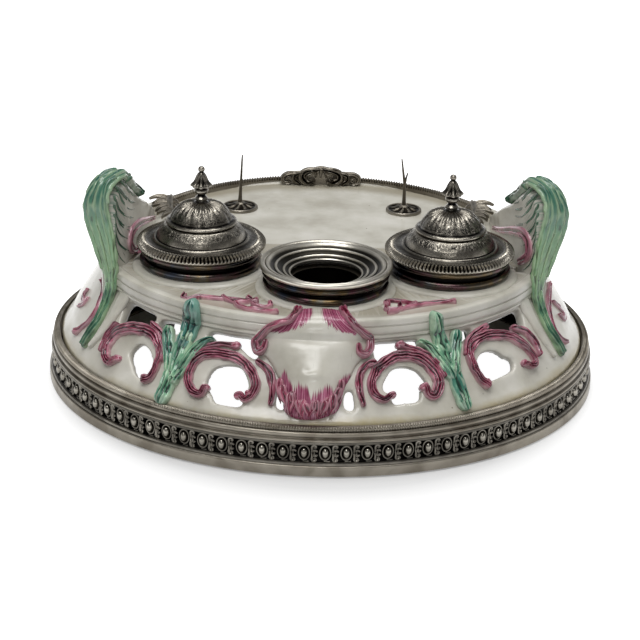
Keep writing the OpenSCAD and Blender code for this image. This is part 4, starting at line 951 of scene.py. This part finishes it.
# The painted strokes beside each leaf, as [depth y, height z, width] on the wing's inner face.
STROKES = [
    [(-39, 127, 1.4), (-33.5, 122, 3.4), (-27.5, 115, 1.6)],
    [(-34, 129.6, 1.4), (-28.6, 124, 3.4), (-22.8, 117.6, 1.6)],
    [(-36.6, 123, .8), (-31, 114, 2), (-23, 107.6, 1), (-13, 104.6, .6)],
    [(-30, 119, .8), (-21, 111.6, 2.2), (-12, 108.4, .7)],
    [(-40.4, 121, .8), (-36.4, 112.6, 1.7), (-29, 106, 1.2), (-19, 101.6, .6)],
    [(-41, 116, .8), (-38, 107.6, 1.7), (-31.4, 100.6, 1.3), (-22, 96.4, .6)],
    [(-41.2, 110.4, .8), (-39, 102, 1.6), (-34, 95.4, 1.3), (-26, 90.4, .6)],
    [(-41.4, 104.6, .8), (-39.6, 96.6, 1.5), (-35.4, 89.6, 1.2), (-29, 84.2, .6)],
    [(-41.4, 98.6, .7), (-40.2, 90.6, 1.4), (-36.6, 83.4, 1.2), (-31, 77.4, .6)],
    [(-41.4, 92, .7), (-40.6, 84.6, 1.3), (-38, 78, 1.1), (-34, 72, .6)],
    [(-25, 121, .7), (-17.6, 115, 1.8), (-10.6, 111.6, .6)],
    [(-38.8, 118.8, .6), (-33.6, 109, 1.1), (-25.6, 103.4, .9), (-16, 100, .5)],
    [(-40.4, 112.6, .6), (-35.4, 103, 1.1), (-28.6, 97.2, .9), (-19, 93.6, .5)],
    [(-41, 101.4, .6), (-37, 92.6, 1.1), (-31.4, 86.6, .9), (-25, 82.6, .5)]]

# The same green laid on thick, nearly black, as the painter's last strokes.
ink_green = painted("dark_green_stroke", [(0.36, "#0a1c16"), (0.46, "#173a2c"), (0.56, "#2d5c47"),
                                          (0.64, "#5a8a6c"), (0.72, "#8db394")], "#6c9479", "#06120d")
for side, label in SIDES:
    marks = [strip(on_wing(side, stops, 0.5), 1, lift=0.75, sink=0.6, ridges=1, groove=0.2, columns=8,
                   place=None) for stops in STROKES]
    roll = [[side * (wing_inner(y) + 4.6 * f), y, z, -0.5 * side, -0.45, 0.7, w] for y, z, f, w in
            run([(-26, 127.4, .2, 4.4), (-18, 123, .5, 6.6), (-9, 117, .7, 7), (-2, 112.4, .6, 5.4),
                 (0, 109.6, .3, 3.4)], 4)]
    marks.append(strip(roll, 1, lift=3.4, sink=2.4, ridges=2, groove=0.5, columns=16, place=None, curl=.2))
    settle(strips(f"{label}_wing_strokes", marks), ink_green, angle=70, reach=0.9)

# Wing leaves: a long acanthus leaf up the front of each wing, rolled over at the top, deeply combed and
# brushed green, darker at the foot and yellower at its middle.
LEAF = [[-138, -58, 36.5, -.7, -.5, .5, 4.6], [-134.5, -55.5, 42, -.7, -.5, .5, 6],
        [-129.5, -52, 50, -.6, -.7, .3, 6.2], [-125.4, -46.5, 60, -.5, -.8, .2, 6.8],
        [-123.6, -44, 70, -.4, -.9, 0, 8.4], [-124.4, -44, 80, -.4, -.9, 0, 11.5],
        [-127.6, -44, 95, -.4, -.9, .1, 15.5], [-130.8, -43.5, 108, -.4, -.85, .3, 17],
        [-131.6, -42.5, 118, -.4, -.8, .5, 16.6], [-129, -39.6, 126, -.3, -.6, .8, 15.4],
        [-124, -35, 130.4, -.1, -.3, .95, 13], [-119.4, -29.6, 130.6, .1, 0, .95, 10],
        [-117, -26.6, 128.4, .5, .3, .8, 6]]
for side, label in SIDES:
    folds = [strip(LEAF, 6, lift=2.6, sink=1.6, ridges=3, groove=0.35, columns=34, place=None, mirror=side > 0,
                   wobble=0.16)]
    for shift, start, stop, width in ((-5.8, 5, 12, 4), (-2, 3, 13, 5.6), (3, 4, 13, 5.2), (6.4, 5, 11, 3),
                                      (-1.5, 0, 5, 3.2), (1.6, 0, 6, 3.6)):
        line = []
        for k in range(start, stop):
            x, y, z, ox, oy, oz, w = LEAF[k]
            share = w / 17
            taper = 0.35 + 0.65 * math.sin(math.pi * (k - start + 0.6) / (stop - start + 0.2))
            face = np.array([ox, oy, oz]) / math.sqrt(ox * ox + oy * oy + oz * oz)
            beside = np.cross(face, (-0.1, 0.1, 1)) if k < 10 else np.array([-0.7, 0.7, 0])
            spot = np.array([x, y, z]) - beside * shift * (share if start > 0 else 1) + face * 1.5
            line.append([*spot, ox, oy, oz, width * taper])
        folds.append(strip(line, 6, lift=2.0, sink=1.6, ridges=1, groove=0.12, columns=14, place=None,
                           mirror=side > 0, wobble=0.2))
    settle(strips(f"{label}_acanthus", folds), leaf_green, [f"{label}_wing_leaf"], angle=70,
           reach=1.1)

# Tray rail: a cast gallery round the back of the pen tray, a plain strip with a gadrooned rope along its
# top, pinned to the deck by hidden studs.
RAIL_A, RAIL_B = 118, 133 * OVAL - 1


def on_rail(turn):
    """A point on the rail's oval line, at a bearing in degrees from the back."""
    q = math.radians(turn)
    return np.array([RAIL_A * math.sin(q), RAIL_B * math.cos(q) + BACK, 0])


rail_rows = []
GADROONS = 126
for i in range(GADROONS * 4 + 1):
    turn = -54 + 108 * i / (GADROONS * 4)
    spot = on_rail(turn)
    out = np.array([RAIL_B * math.sin(math.radians(turn)), RAIL_A * math.cos(math.radians(turn)), 0])
    out /= np.linalg.norm(out)
    row = [spot + out * x + np.array([0, 0, z]) for x, z in ((-1.2, SEAT_TOP), (-1.2, DECK_TOP), (1.2, DECK_TOP),
                                                             (1.2, SEAT_TOP))]
    for k in range(10):
        q = math.radians(-30 + 240 * k / 9)
        r = 1.4 + 0.5 * math.cos(2 * math.pi * i / 4)
        row.append(spot + out * r * math.cos(q) + np.array([0, 0, 79.0 + r * math.sin(q)]))
    rail_rows.append(row)
rail = from_arrays("gadrooned_rail", *rings(rail_rows))
settle(rail, satin_plate, ["tray_rail"], reach=0.6, angle=50)

# Crest of the rail: a solid casting with a shell in the middle, two leaf lobes that curl forward and hang
# down, and arms that end in tight scrolls.
crest_y = RAIL_B + BACK - 6.0


def upright(stops, forward=0.6, **kinds):
    """A strip on the crest's front, from stops [x, height over the deck, width]."""
    return strip([[x, crest_y + forward, DECK_TOP + z, 0, -1, 0.25, w] for x, z, w in run(stops, 4)], 1,
                 place=None, **kinds)


crest_back = [(-25.6, .8), (-25.4, 4.4), (-22.6, 6.6), (-17, 7.6), (-12, 8.2), (-7, 10.4), (0, 11.6), (7, 10.4),
              (12, 8.2), (17, 7.6), (22.6, 6.6), (25.4, 4.4), (25.6, .8)]
plate = run(crest_back, 3)
crest_parts = [(*rings([[(x, crest_y + 1.2 + d, DECK_TOP + z) for x, z in plate]
                        + [(x, crest_y + 1.2 + d, 76.2) for x, z in plate[::-1]] for d in (-.9, 1.1)]),
                [(0, .5)] * (4 * len(plate)))]
for way in (-1, 1):
    crest_parts += [
        upright([(way * 17, 7.6, 2.6), (way * 21.5, 7.4, 3), (way * 25, 5.2, 3), (way * 24.6, 1.8, 3),
                 (way * 21.4, .8, 2.8), (way * 19.4, 2.8, 2.6), (way * 21, 4.6, 2.4), (way * 22.6, 3.4, 2)],
                lift=3.2, ridges=1, groove=.2, columns=10),
        upright([(way * 2.2, 10, 3), (way * 6.4, 9.6, 5), (way * 11, 7.6, 6.4), (way * 11.6, 4.2, 6.4),
                 (way * 8.4, 1.6, 5.4), (way * 5.4, 2.4, 3.6)],
                0, lift=4.4, ridges=3, groove=.45, columns=18, curl=.3),
        upright([(way * 13, 8, 2.4), (way * 16.6, 6.4, 3.8), (way * 17, 3.4, 4), (way * 14.6, 1.2, 3)], 0,
                lift=3.6, ridges=2, groove=.4, columns=12),
        upright([(0, 11.4, 3), (way * 7, 10.2, 2.4), (way * 12, 8.4, 2.2), (way * 18, 7.8, 2.2),
                 (way * 24.4, 5.6, 2)], lift=2.2, ridges=1, groove=.1, columns=8)]
crest_parts += [upright([(x * .25, 11, 1.6), (x * .8, 8.6, 2.4), (x, 6.2, 2)], .2, lift=3.2, ridges=1,
                        columns=8) for x in (-3.4, 0, 3.4)]
settle(strips("crest_leaves", crest_parts), satin_plate, ["rail_crest"], reach=1.1, angle=60)

# Rail leaves: on each side the rail ends in a flat acanthus leaf with pointed lobes, which lies on the deck
# and runs forward along the wing's foot.
for side, label in SIDES:
    stem = run([(-96.9, 84, 79.4, 4.4), (-96.4, 74, 79.8, 5), (-95.4, 64, 79.4, 4.4), (-93.6, 54, 78.8, 3.4),
                (-91.4, 45, 78.2, 2)], 4)
    parts = [strip([[x, y, z, -.1, -.35, .95, w] for x, y, z, w in stem], 1, lift=1.8, ridges=1, groove=.3,
                   columns=12, place=None, mirror=side > 0)]
    for y, dx, dy, w in ((82, -13, -1, 2.6), (76, -11, -5, 2.4), (70, -12, -6, 2.8), (64, -9, -7, 2.4),
                         (58, -9, -7, 2.4), (52, -7, -8, 2.2), (74, 6, -5, 2.2), (66, 6, -6, 2.2), (57, 5, -7, 2)):
        x = float(np.interp(-y, [-84, -64, -45], [-96.9, -95.4, -91.4]))
        parts.append(strip([[x + dx * f, y + dy * f * f, 78.6 + 1.8 * math.sin(math.pi * f) + 0.4 * f, -.1, -.3,
                             .95, w * k]
                            for f, k in ((0, 1.5), (.35, 1.7), (.7, 1.1), (1, .2))], 4, lift=1.3, sink=.8,
                           ridges=2, groove=.5, columns=12,
                           place=None, mirror=side > 0))
    settle(strips(f"{label}_rail_acanthus", parts), satin_plate, [f"{label}_rail_leaf"], reach=0.9,
           angle=60)

# Pen rests: a chased disc with a raised rim and a ring of petals on each side of the tray. The left one
# carries a plain spike and the right one a forked spike, both of rough dark wire.

# Tarnished iron wire, rough from the hammer: a dull brown-grey with hardly a shine.
wire_iron = plated("dark_wire", "#5a544a", "#332f29", "#14110d", 0.45, grain=0.6)
for side, label in SIDES:
    centre = (side * 52, 75)
    disc = turned(f"{label}_chased_disc", [
        (0, 4.4), (1.6, 4.4), (2.4, 4.0), (3.2, 3.0), (5.2, 2.2), (7.6, 1.5), (9.2, 1.3), (9.8, 1.8), (10.6, 2.0),
        (11.2, 1.5), (11.3, 0.5), (11.0, 0), (0, 0)], centre=centre, lift=DECK_TOP, steps=96, closed=False)
    for v in disc.data.vertices:
        dx, dy = v.co.x / MM - centre[0], v.co.y / MM - centre[1]
        r, q = math.hypot(dx, dy), math.atan2(dy, dx)
        if 2.6 < r < 9.6 and v.co.z > 0.0771:
            v.co.z += 0.6 * MM * math.cos(8 * q + 0.35 * r) * math.sin(math.pi * (r - 2.6) / 7)
    settle(disc, satin_plate, [f"{label}_rosette"], reach=1.4, angle=50)


def spike(stops):
    """A bent, tapered wire with small tool marks: stops are [x, y, z, radius]."""
    rows = []
    for i, (x, y, z, r) in enumerate(run(stops, 6)):
        r *= 1 + 0.12 * noise.noise(Vector((i * 0.9, 3, 7)))
        rows.append([(x + r * math.cos(q), y + r * math.sin(q), z) for q in np.arange(10) * math.pi / 5])
    return rings(rows)


left_spike = from_arrays("left_spike",
                         *spike([(-52, 75, 77.2, 1.3), (-52, 75, 80.6, 1.4), (-51.9, 75, 84, 1.15),
                                 (-51.6, 75, 92, .9),
                                               (-51.3, 75, 100, .7), (-51, 75, 108, .55), (-50.8, 75, 111.2, .4)]))
settle(left_spike, wire_iron, ["left_pen_spike"], reach=0.6)
fork = from_arrays("right_fork", *merged([
    spike([(52, 75, 77.2, 1.3), (52, 75, 80.4, 1.3), (52, 75, 86, 1.1), (51.8, 75, 94, .9), (50.8, 75, 102, .7),
           (49.6, 75, 110.6, .4)]),
    spike([(51.9, 75, 92, .9), (52.4, 75, 96.2, .75), (53.6, 75, 101.4, .4)])]))
settle(fork, wire_iron, ["right_pen_fork"], reach=0.6)

# Collars: spun rings with two rolls and a deep hollow between them, let into the deck. The blue, purple and
# straw in the hollow are partly stains of heat and polish and partly painted reflection of the puce decoration.

# Plate that heat and polish have partly coloured, and partly painted with reflection: near black for the dark
# surroundings, with a wash of blue, purple and straw, the purple standing for the puce decoration reflected.
# Inside the centre well it stays bright, and shows the lamps.
stain_and_reflection_plate = plated("stain_and_painted_reflection_plate", "#4c4842", "#282520", "#0a0908", 0.16,
                       stain_and_reflection=[(0.34, "#162a42"), (0.43, "#2e2b26"), (0.5, "#43192c"), (0.55, "#2e2b26"),
                              (0.61, "#4e3c1c"), (0.68, "#423f38")], grain=0.04)
polished_plate = plated("polished_silver_plate", "#c6c1b5", "#8b867a", "#26241f", 0.27, grain=0.05)
# Ink-stained glass of the pots: dark slate with clouds 12 mm wide.
bowl_glaze, bowl_shader = start_material("ink_pot_glaze", Roughness=0.22, IOR=1.5, Coat_Weight=0.3)
ink_place = node(bowl_glaze, "ShaderNodeTexCoord").outputs["Object"]
ink_tone = node(bowl_glaze, "ShaderNodeTexNoise", {"Vector": ink_place, "Scale": 80.0, "Detail": 5.0})
join(bowl_glaze, bowl_shader,
     Base_Color=node(bowl_glaze, "ShaderNodeValToRGB", {"Fac": ink_tone}, [(0.35, "#1b2630"), (0.6, "#3a4a52")]))


def arc(r, z, radius, start, stop):
    """Nine points along an arc of an outline, from start to stop in degrees."""
    turns = [math.radians(start + (stop - start) * i / 8) for i in range(9)]
    return [(r + radius * math.cos(q), z + radius * math.sin(q)) for q in turns]


for label, centre in WELLS.items():
    ring = turned(f"{label}_well_collar", [(27.3, -12), (28.9, -12), (28.9, 0)] + arc(33.4, 2.5, 2.5, -90, 70)
                  + [(33.2, 5.2), (32.9, 5.9), (32.9, 6.8)] + arc(33.5, 8.9, 2.0, -80, 90)
                  + [(30.9, 11), (30.9, 9), (27.3, 9)], centre=centre, lift=SEAT_TOP)
    settle(ring, stain_and_reflection_plate, [f"{label}_collar"], angle=30)
    pot = turned(f"{label}_ink_bowl", [(0, -40), (25, -40), (27, -38), (27, -2), (30.6, -2), (30.6, 0), (25.2, 0),
                                       (25, -.2), (25, -36), (23, -38), (0, -38)], centre=centre, lift=89,
                 closed=False)
    settle(pot, bowl_glaze, [f"{label}_ink_pot"], angle=35)

# Lids: raised from sheet, with a gadrooned rim, a plain cavetto and a chased lower dome; a second, fluted
# dome and a lobed finial are screwed on top. They lift straight off.

# Silver plate with its chased lines worn black, and the finials' plate, handled until it is grey and smooth.
chased_plate = plated("chased_silver_plate", "#8e897f", "#46423b", "#0b0a09", 0.18, grain=0.35)
knop_plate = plated("worn_finial_plate", "#8d887e", "#46423c", "#0a0908", 0.15, grain=0.08)
LID_SEAT, FINIAL_SEAT = 89.3, 116.5
GADROON_COUNT, LEAF_SCROLLS = 104, 16


def around(obj, centre):
    """Radius, bearing and height of each point of a turned piece, in mm."""
    for v in obj.data.vertices:
        dx, dy = v.co.x / MM - centre[0], v.co.y / MM - centre[1]
        yield v, math.hypot(dx, dy), math.atan2(dy, dx)


def push(v, q, amount, out, up):
    """Moves a point of a turned piece outwards and upwards, by shares of an amount in mm."""
    v.co.x += amount * MM * math.cos(q) * out
    v.co.y += amount * MM * math.sin(q) * out
    v.co.z += amount * MM * up


def chase(obj, centre, bands, depth=0.0):
    """Marks the radii that the chasing tools have worked, and works leaf scrolls into the first band."""
    marks = []
    for v, r, q in around(obj, centre):
        marks.append(float(any(a < r < b for a, b in bands)))
        bottom, top = bands[0]
        if bottom < r < top and depth:
            f = (r - bottom) / (top - bottom)
            swirl = math.cos(LEAF_SCROLLS * q + 5 * f) * math.sin(math.pi * f)
            swirl += 0.6 * math.cos(2 * LEAF_SCROLLS * q - 7 * f)
            v.co.z += depth * MM * math.sin(math.pi * f) * (0.5 * swirl + noise.noise(Vector((r * 0.9, q * 20, 3))))
    mark(obj, "chased", marks)


for label, (cx, cy) in WELLS.items():
    body = f"{label}_cover"
    lid = turned(f"{label}_chased_lid", [
        (23.3, -4), (24.5, -4), (24.5, 0), (37.1, 0), (37.5, .4), (37.5, 1.0), (37.2, 1.5), (36.9, 2.0),
        (36.4, 2.6), (35.8, 3.0), (35.1, 3.4), (34.4, 3.7), (33.6, 4.0), (32.9, 4.2), (32.3, 4.1), (31.8, 3.8),
        (31.1, 3.7), (30.4, 3.7), (29.5, 3.8), (28.6, 4.0), (28.1, 4.3), (27.9, 4.8), (27.3, 5.2), (26.6, 5.0),
        (26.2, 4.8), (26.0, 5.6), (25.5, 7.0), (24.8, 8.3), (24.0, 9.6), (23.0, 10.8), (22.0, 11.8), (21.2, 12.6),
        (20.2, 12.9), (19, 13.6), (1.6, 13.7), (1.6, 12.5), (18.1, 12.5), (20.4, 10.9), (23.3, 7.0)],
                 centre=(cx, cy), lift=LID_SEAT, steps=4 * GADROON_COUNT)
    for v, r, q in around(lid, (cx, cy)):
        z = v.co.z / MM - LID_SEAT
        if r > 32.6 and z > 0.8:
            flute = 0.85 * math.cos(GADROON_COUNT * q) * min(1, (r - 32.6) / 1.2) * min(1, (z - 0.8) / 0.6)
            push(v, q, flute, 0.6, 0.8)
    chase(lid, (cx, cy), [(21.3, 24.3)], 0.5)
    settle(lid, chased_plate, [f"{label}_lid"], body, angle=50, reach=1.1)
    cap = turned(f"{label}_fluted_dome", [
        (18.1, 13.7), (20.4, 13.7), (20.7, 14.1), (20.7, 14.7), (20.2, 15.2), (19.2, 15.4), (18.2, 15.7),
        (17.9, 16.4), (17.4, 17.6), (16.6, 19.2), (15.4, 21.0), (14.0, 22.4), (12.2, 23.6), (10.2, 24.5),
        (8.0, 25.1), (5.8, 25.6), (4.2, 26.0), (3.4, 26.4), (3.0, 27.0), (3.0, 27.2), (1.6, 27.2), (1.6, 24.8),
        (5.4, 24.1), (9.5, 22.2), (13.5, 19.1), (15.9, 15.9)], centre=(cx, cy), lift=LID_SEAT, steps=288)
    for v, r, q in around(cap, (cx, cy)):
        if 4.5 < r < 18.4 and v.co.z / MM - LID_SEAT > 15.6:
            f = (r - 4.5) / 13.9
            flute = 0.45 * math.cos(24 * q) * math.sin(math.pi * f) ** 0.5 * (1 if f < 0.62 else 0.4)
            flute += 0.5 * math.cos(12 * q + 1) * max(0, f - 0.5) * (1.2 - f) * 4
            push(v, q, flute, 0.7, 0.7)
    chase(cap, (cx, cy), [(13.6, 17.6)])
    settle(cap, chased_plate, [f"{label}_lid_cap"], body, angle=50, reach=1.3)
    knop = turned(f"{label}_lobed_finial", [
        (0, 0), (3.6, 0), (3.9, .8), (3.4, 1.6), (2.5, 2.3), (2.3, 3.0), (2.8, 3.6), (3.8, 4.3), (4.2, 5.2),
        (4.0, 6.2), (3.1, 6.8), (3.3, 7.2), (5.2, 7.6), (6.4, 8.2), (6.5, 8.9), (5.8, 9.7), (4.7, 10.8),
        (4.0, 12.0), (3.5, 13.2), (3.1, 14.2), (2.6, 15.1), (2.1, 15.9), (1.4, 16.4), (1.3, 16.9), (1.8, 17.4),
        (2.0, 18.2), (1.8, 19.1), (1.1, 19.8), (0, 20)], centre=(cx, cy), lift=FINIAL_SEAT, steps=96, closed=False)
    for v, r, q in around(knop, (cx, cy)):
        z = v.co.z / MM - FINIAL_SEAT
        if 7.1 < z < 15.6 and r > 0.5:
            lobe = 1 - 0.3 * (0.5 - 0.5 * math.cos(8 * q)) * math.sin(math.pi * (z - 7.1) / 8.5) ** 0.5
            v.co.x, v.co.y = (cx + r * lobe * math.cos(q)) * MM, (cy + r * lobe * math.sin(q)) * MM
    settle(knop, knop_plate, [f"{label}_finial"], body, angle=50, reach=1.2)

# Centre well: a spun collar with a stepped dish let into it, and a dark socket in the middle for a
# sand pot or a candle.
cup = turned("centre_well_collar", [(21.6, -12), (23.2, -12), (23.2, 0)] + arc(34, 2.1, 2.1, -90, 60)
             + [(34.4, 4.6), (34.5, 5.4)] + arc(35, 8, 1.5, -70, 60) + [(35.5, 9.8), (36.4, 10.6), (36.2, 11.6),
                                                                        (34.6, 11.6), (34.6, 1.6),
                                                                          (21.6, 1.6)],
             centre=CUP, lift=SEAT_TOP)
settle(cup, stain_and_reflection_plate, ["centre_collar"], angle=30)
lip = turned("centre_well_lip",
             eased([(34.6, 11.2), (36.3, 10.7), (37.8, 11.4), (38, 12.3), (37.9, 13.2), (37.2, 13.9), (36.2, 13.9),
                                       (35.2, 13.5), (34.6, 12.8)]), centre=CUP, lift=SEAT_TOP)
settle(lip, polished_plate, angle=30, reach=0.9)
dish = turned("stepped_dish", [
    (33.1, 1.9), (34.3, 1.9), (34.3, 13.0), (33.8, 13.3), (33.0, 13.2), (32.2, 12.2), (30.6, 11.0), (29.6, 10.7),
    (29.3, 11.2), (28.6, 11.5), (27.9, 11.2), (27.7, 10.2), (26.8, 9.4), (25.4, 8.8), (24.9, 8.7), (24.6, 9.2),
    (24.0, 9.4), (23.4, 9.1), (23.2, 8.2), (22.4, 7.5), (21.6, 7.3), (21.3, 7.9), (20.7, 8.0), (20.3, 7.6),
    (20.3, 6.2), (24.3, 7.0), (27.8, 8.6), (31.9, 11.0), (33.1, 10.2)], centre=CUP, lift=SEAT_TOP)
settle(dish, polished_plate, ["centre_dish"], angle=30, reach=0.9)
socket = turned("dark_socket", [(19.5, 1.4), (25.1, 1.4), (25.1, 0), (21.1, 0), (21.1, -32.2), (0, -32.2),
                                (0, -30.6), (19.5, -30.6)],
                centre=CUP, lift=79.6, closed=False)
settle(socket, wire_iron, ["centre_socket"], angle=30)

# Hidden fastenings: the studs and nuts under the deck and inside the lids, of plated brass. They are screwed
# up from below and keep their drawn shape.
for name in ("rail_studs", "rosette_nuts", "collar_nuts", "left_finial_nut", "right_finial_nut"):
    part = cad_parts[name]
    part.data.materials.clear()
    part.data.materials.append(satin_plate)

# Desk and light: a white paper sweep that the inkstand stands on, two soft boxes in front and one above, and
# a white tent that the plate reflects.
bpy.ops.object.select_all(action="DESELECT")
bpy.ops.mesh.primitive_plane_add(size=12)
floor = bpy.context.object
floor.name = "white_sweep"
paper = bpy.data.materials.new("matt_white_paper")
paper.use_nodes = True
paper.node_tree.nodes.clear()
# Matt white paper. The camera and the plate see it glow, at full white from a hand's breadth in front of the
# object and under it, where the windows look through; under the body this glow is painted light where its
# shade falls. At the back corners under the body the glow is off and it stays dark.
seen = node(paper, "ShaderNodeLightPath").outputs
spot = node(paper, "ShaderNodeTexCoord").outputs["Object"]
where = node(paper, "ShaderNodeSeparateXYZ", {0: spot}).outputs
sums = {}
for name, operation, *terms in (
        ("side", "ABSOLUTE", where["X"]), ("depth", "ABSOLUTE", where["Y"]),
        ("part_x", "DIVIDE", "side", 0.15), ("oval_x", "POWER", "part_x", 2.0),
        ("part_y", "DIVIDE", "depth", 0.139), ("oval_y", "POWER", "part_y", 2.0),
        ("oval", "ADD", "oval_x", "oval_y"), ("under", "LESS_THAN", "oval", 1.0),
        ("wide", "GREATER_THAN", "side", 0.093), ("far", "GREATER_THAN", where["Y"], 0.034),
        ("corner", "MULTIPLY", "wide", "far"), ("dark", "MULTIPLY", "under", "corner"),
        ("open", "SUBTRACT", 1.0, "dark"),
        ("ahead", "ADD", where["Y"], 0.03), ("ahead", "ABSOLUTE", "ahead"), ("ahead", "POWER", "ahead", 2.0),
        ("aside", "POWER", "side", 2.0), ("away", "ADD", "aside", "ahead"), ("away", "POWER", "away", 0.5),
        ("direct", "MAXIMUM", seen["Is Camera Ray"], seen["Is Glossy Ray"]),
        ("direct", "MAXIMUM", "direct", seen["Is Transmission Ray"])):
    values = {i: sums[term] if isinstance(term, str) else term for i, term in enumerate(terms)}
    sums[name] = node(paper, "ShaderNodeMath", values, operation=operation)
rim_glow = node(paper, "ShaderNodeMapRange", {"Value": sums["away"], "From Min": 0.135, "From Max": 0.2,
                                              "To Min": 0.24, "To Max": 1.0})
# Painted light: under the body, where its shade falls, the paper glows full white.
glow = node(paper, "ShaderNodeMath", {0: sums["under"], 1: rim_glow}, operation="MAXIMUM")
glow = node(paper, "ShaderNodeMath", {0: glow, 1: sums["open"]}, operation="MULTIPLY")
lit = node(paper, "ShaderNodeBsdfDiffuse", {"Color": linear("#b8b8b8")})
soft = node(paper, "ShaderNodeBsdfDiffuse", {"Color": linear("#bdbdbd")})
shine = node(paper, "ShaderNodeEmission", {"Color": (1, 1, 1, 1), "Strength": glow})
shown = node(paper, "ShaderNodeAddShader", {0: soft, 1: shine})
paper_look = node(paper, "ShaderNodeMixShader", {0: sums["direct"], 1: lit, 2: shown})
node(paper, "ShaderNodeOutputMaterial", {"Surface": paper_look})
floor.data.materials.append(paper)

world = bpy.data.worlds.new("studio")
bpy.context.scene.world = world
world.use_nodes = True
world.node_tree.nodes.clear()
sky = node(world, "ShaderNodeTexCoord").outputs["Generated"]
height = node(world, "ShaderNodeSeparateXYZ", {0: sky}).outputs["Z"]
seen = node(world, "ShaderNodeLightPath").outputs
direct = node(world, "ShaderNodeMath", {0: seen["Is Camera Ray"], 1: seen["Is Glossy Ray"]}, operation="MAXIMUM")
tent = node(world, "ShaderNodeValToRGB", {"Fac": height}, [(0.0, 1.0), (0.12, 0.95), (0.3, 0.34), (0.6, 0.2),
                                                          (1.0, 0.14)])
shown = node(world, "ShaderNodeBackground", {"Color": tent, "Strength": 1.0})
fill = node(world, "ShaderNodeBackground", {"Color": (1, 1, 1, 1), "Strength": 0.36})
world_look = node(world, "ShaderNodeMixShader", {0: direct, 1: fill, 2: shown})
node(world, "ShaderNodeOutputWorld", {"Surface": world_look})


def soft_box(name, place, size, power):
    """A rectangular lamp that faces the middle of the object; place and size in metres, power in watts."""
    bpy.ops.object.light_add(type="AREA", location=place)
    lamp = bpy.context.object
    lamp.name = name
    lamp.data.shape = "RECTANGLE"
    lamp.data.size, lamp.data.size_y = size
    lamp.data.energy = power
    aim = Vector((0, 0, 0.05)) - Vector(place)
    lamp.rotation_euler = aim.to_track_quat("-Z", "Y").to_euler()


soft_box("soft_box_front", (-0.3, -0.85, 1.85), (1.3, 0.8), 19.5)
soft_box("strip_box_low", (-0.1, -1.5, 0.85), (0.5, 0.12), 1.6)
soft_box("soft_box_top", (0.2, 0.3, 1.7), (1.2, 0.8), 13)
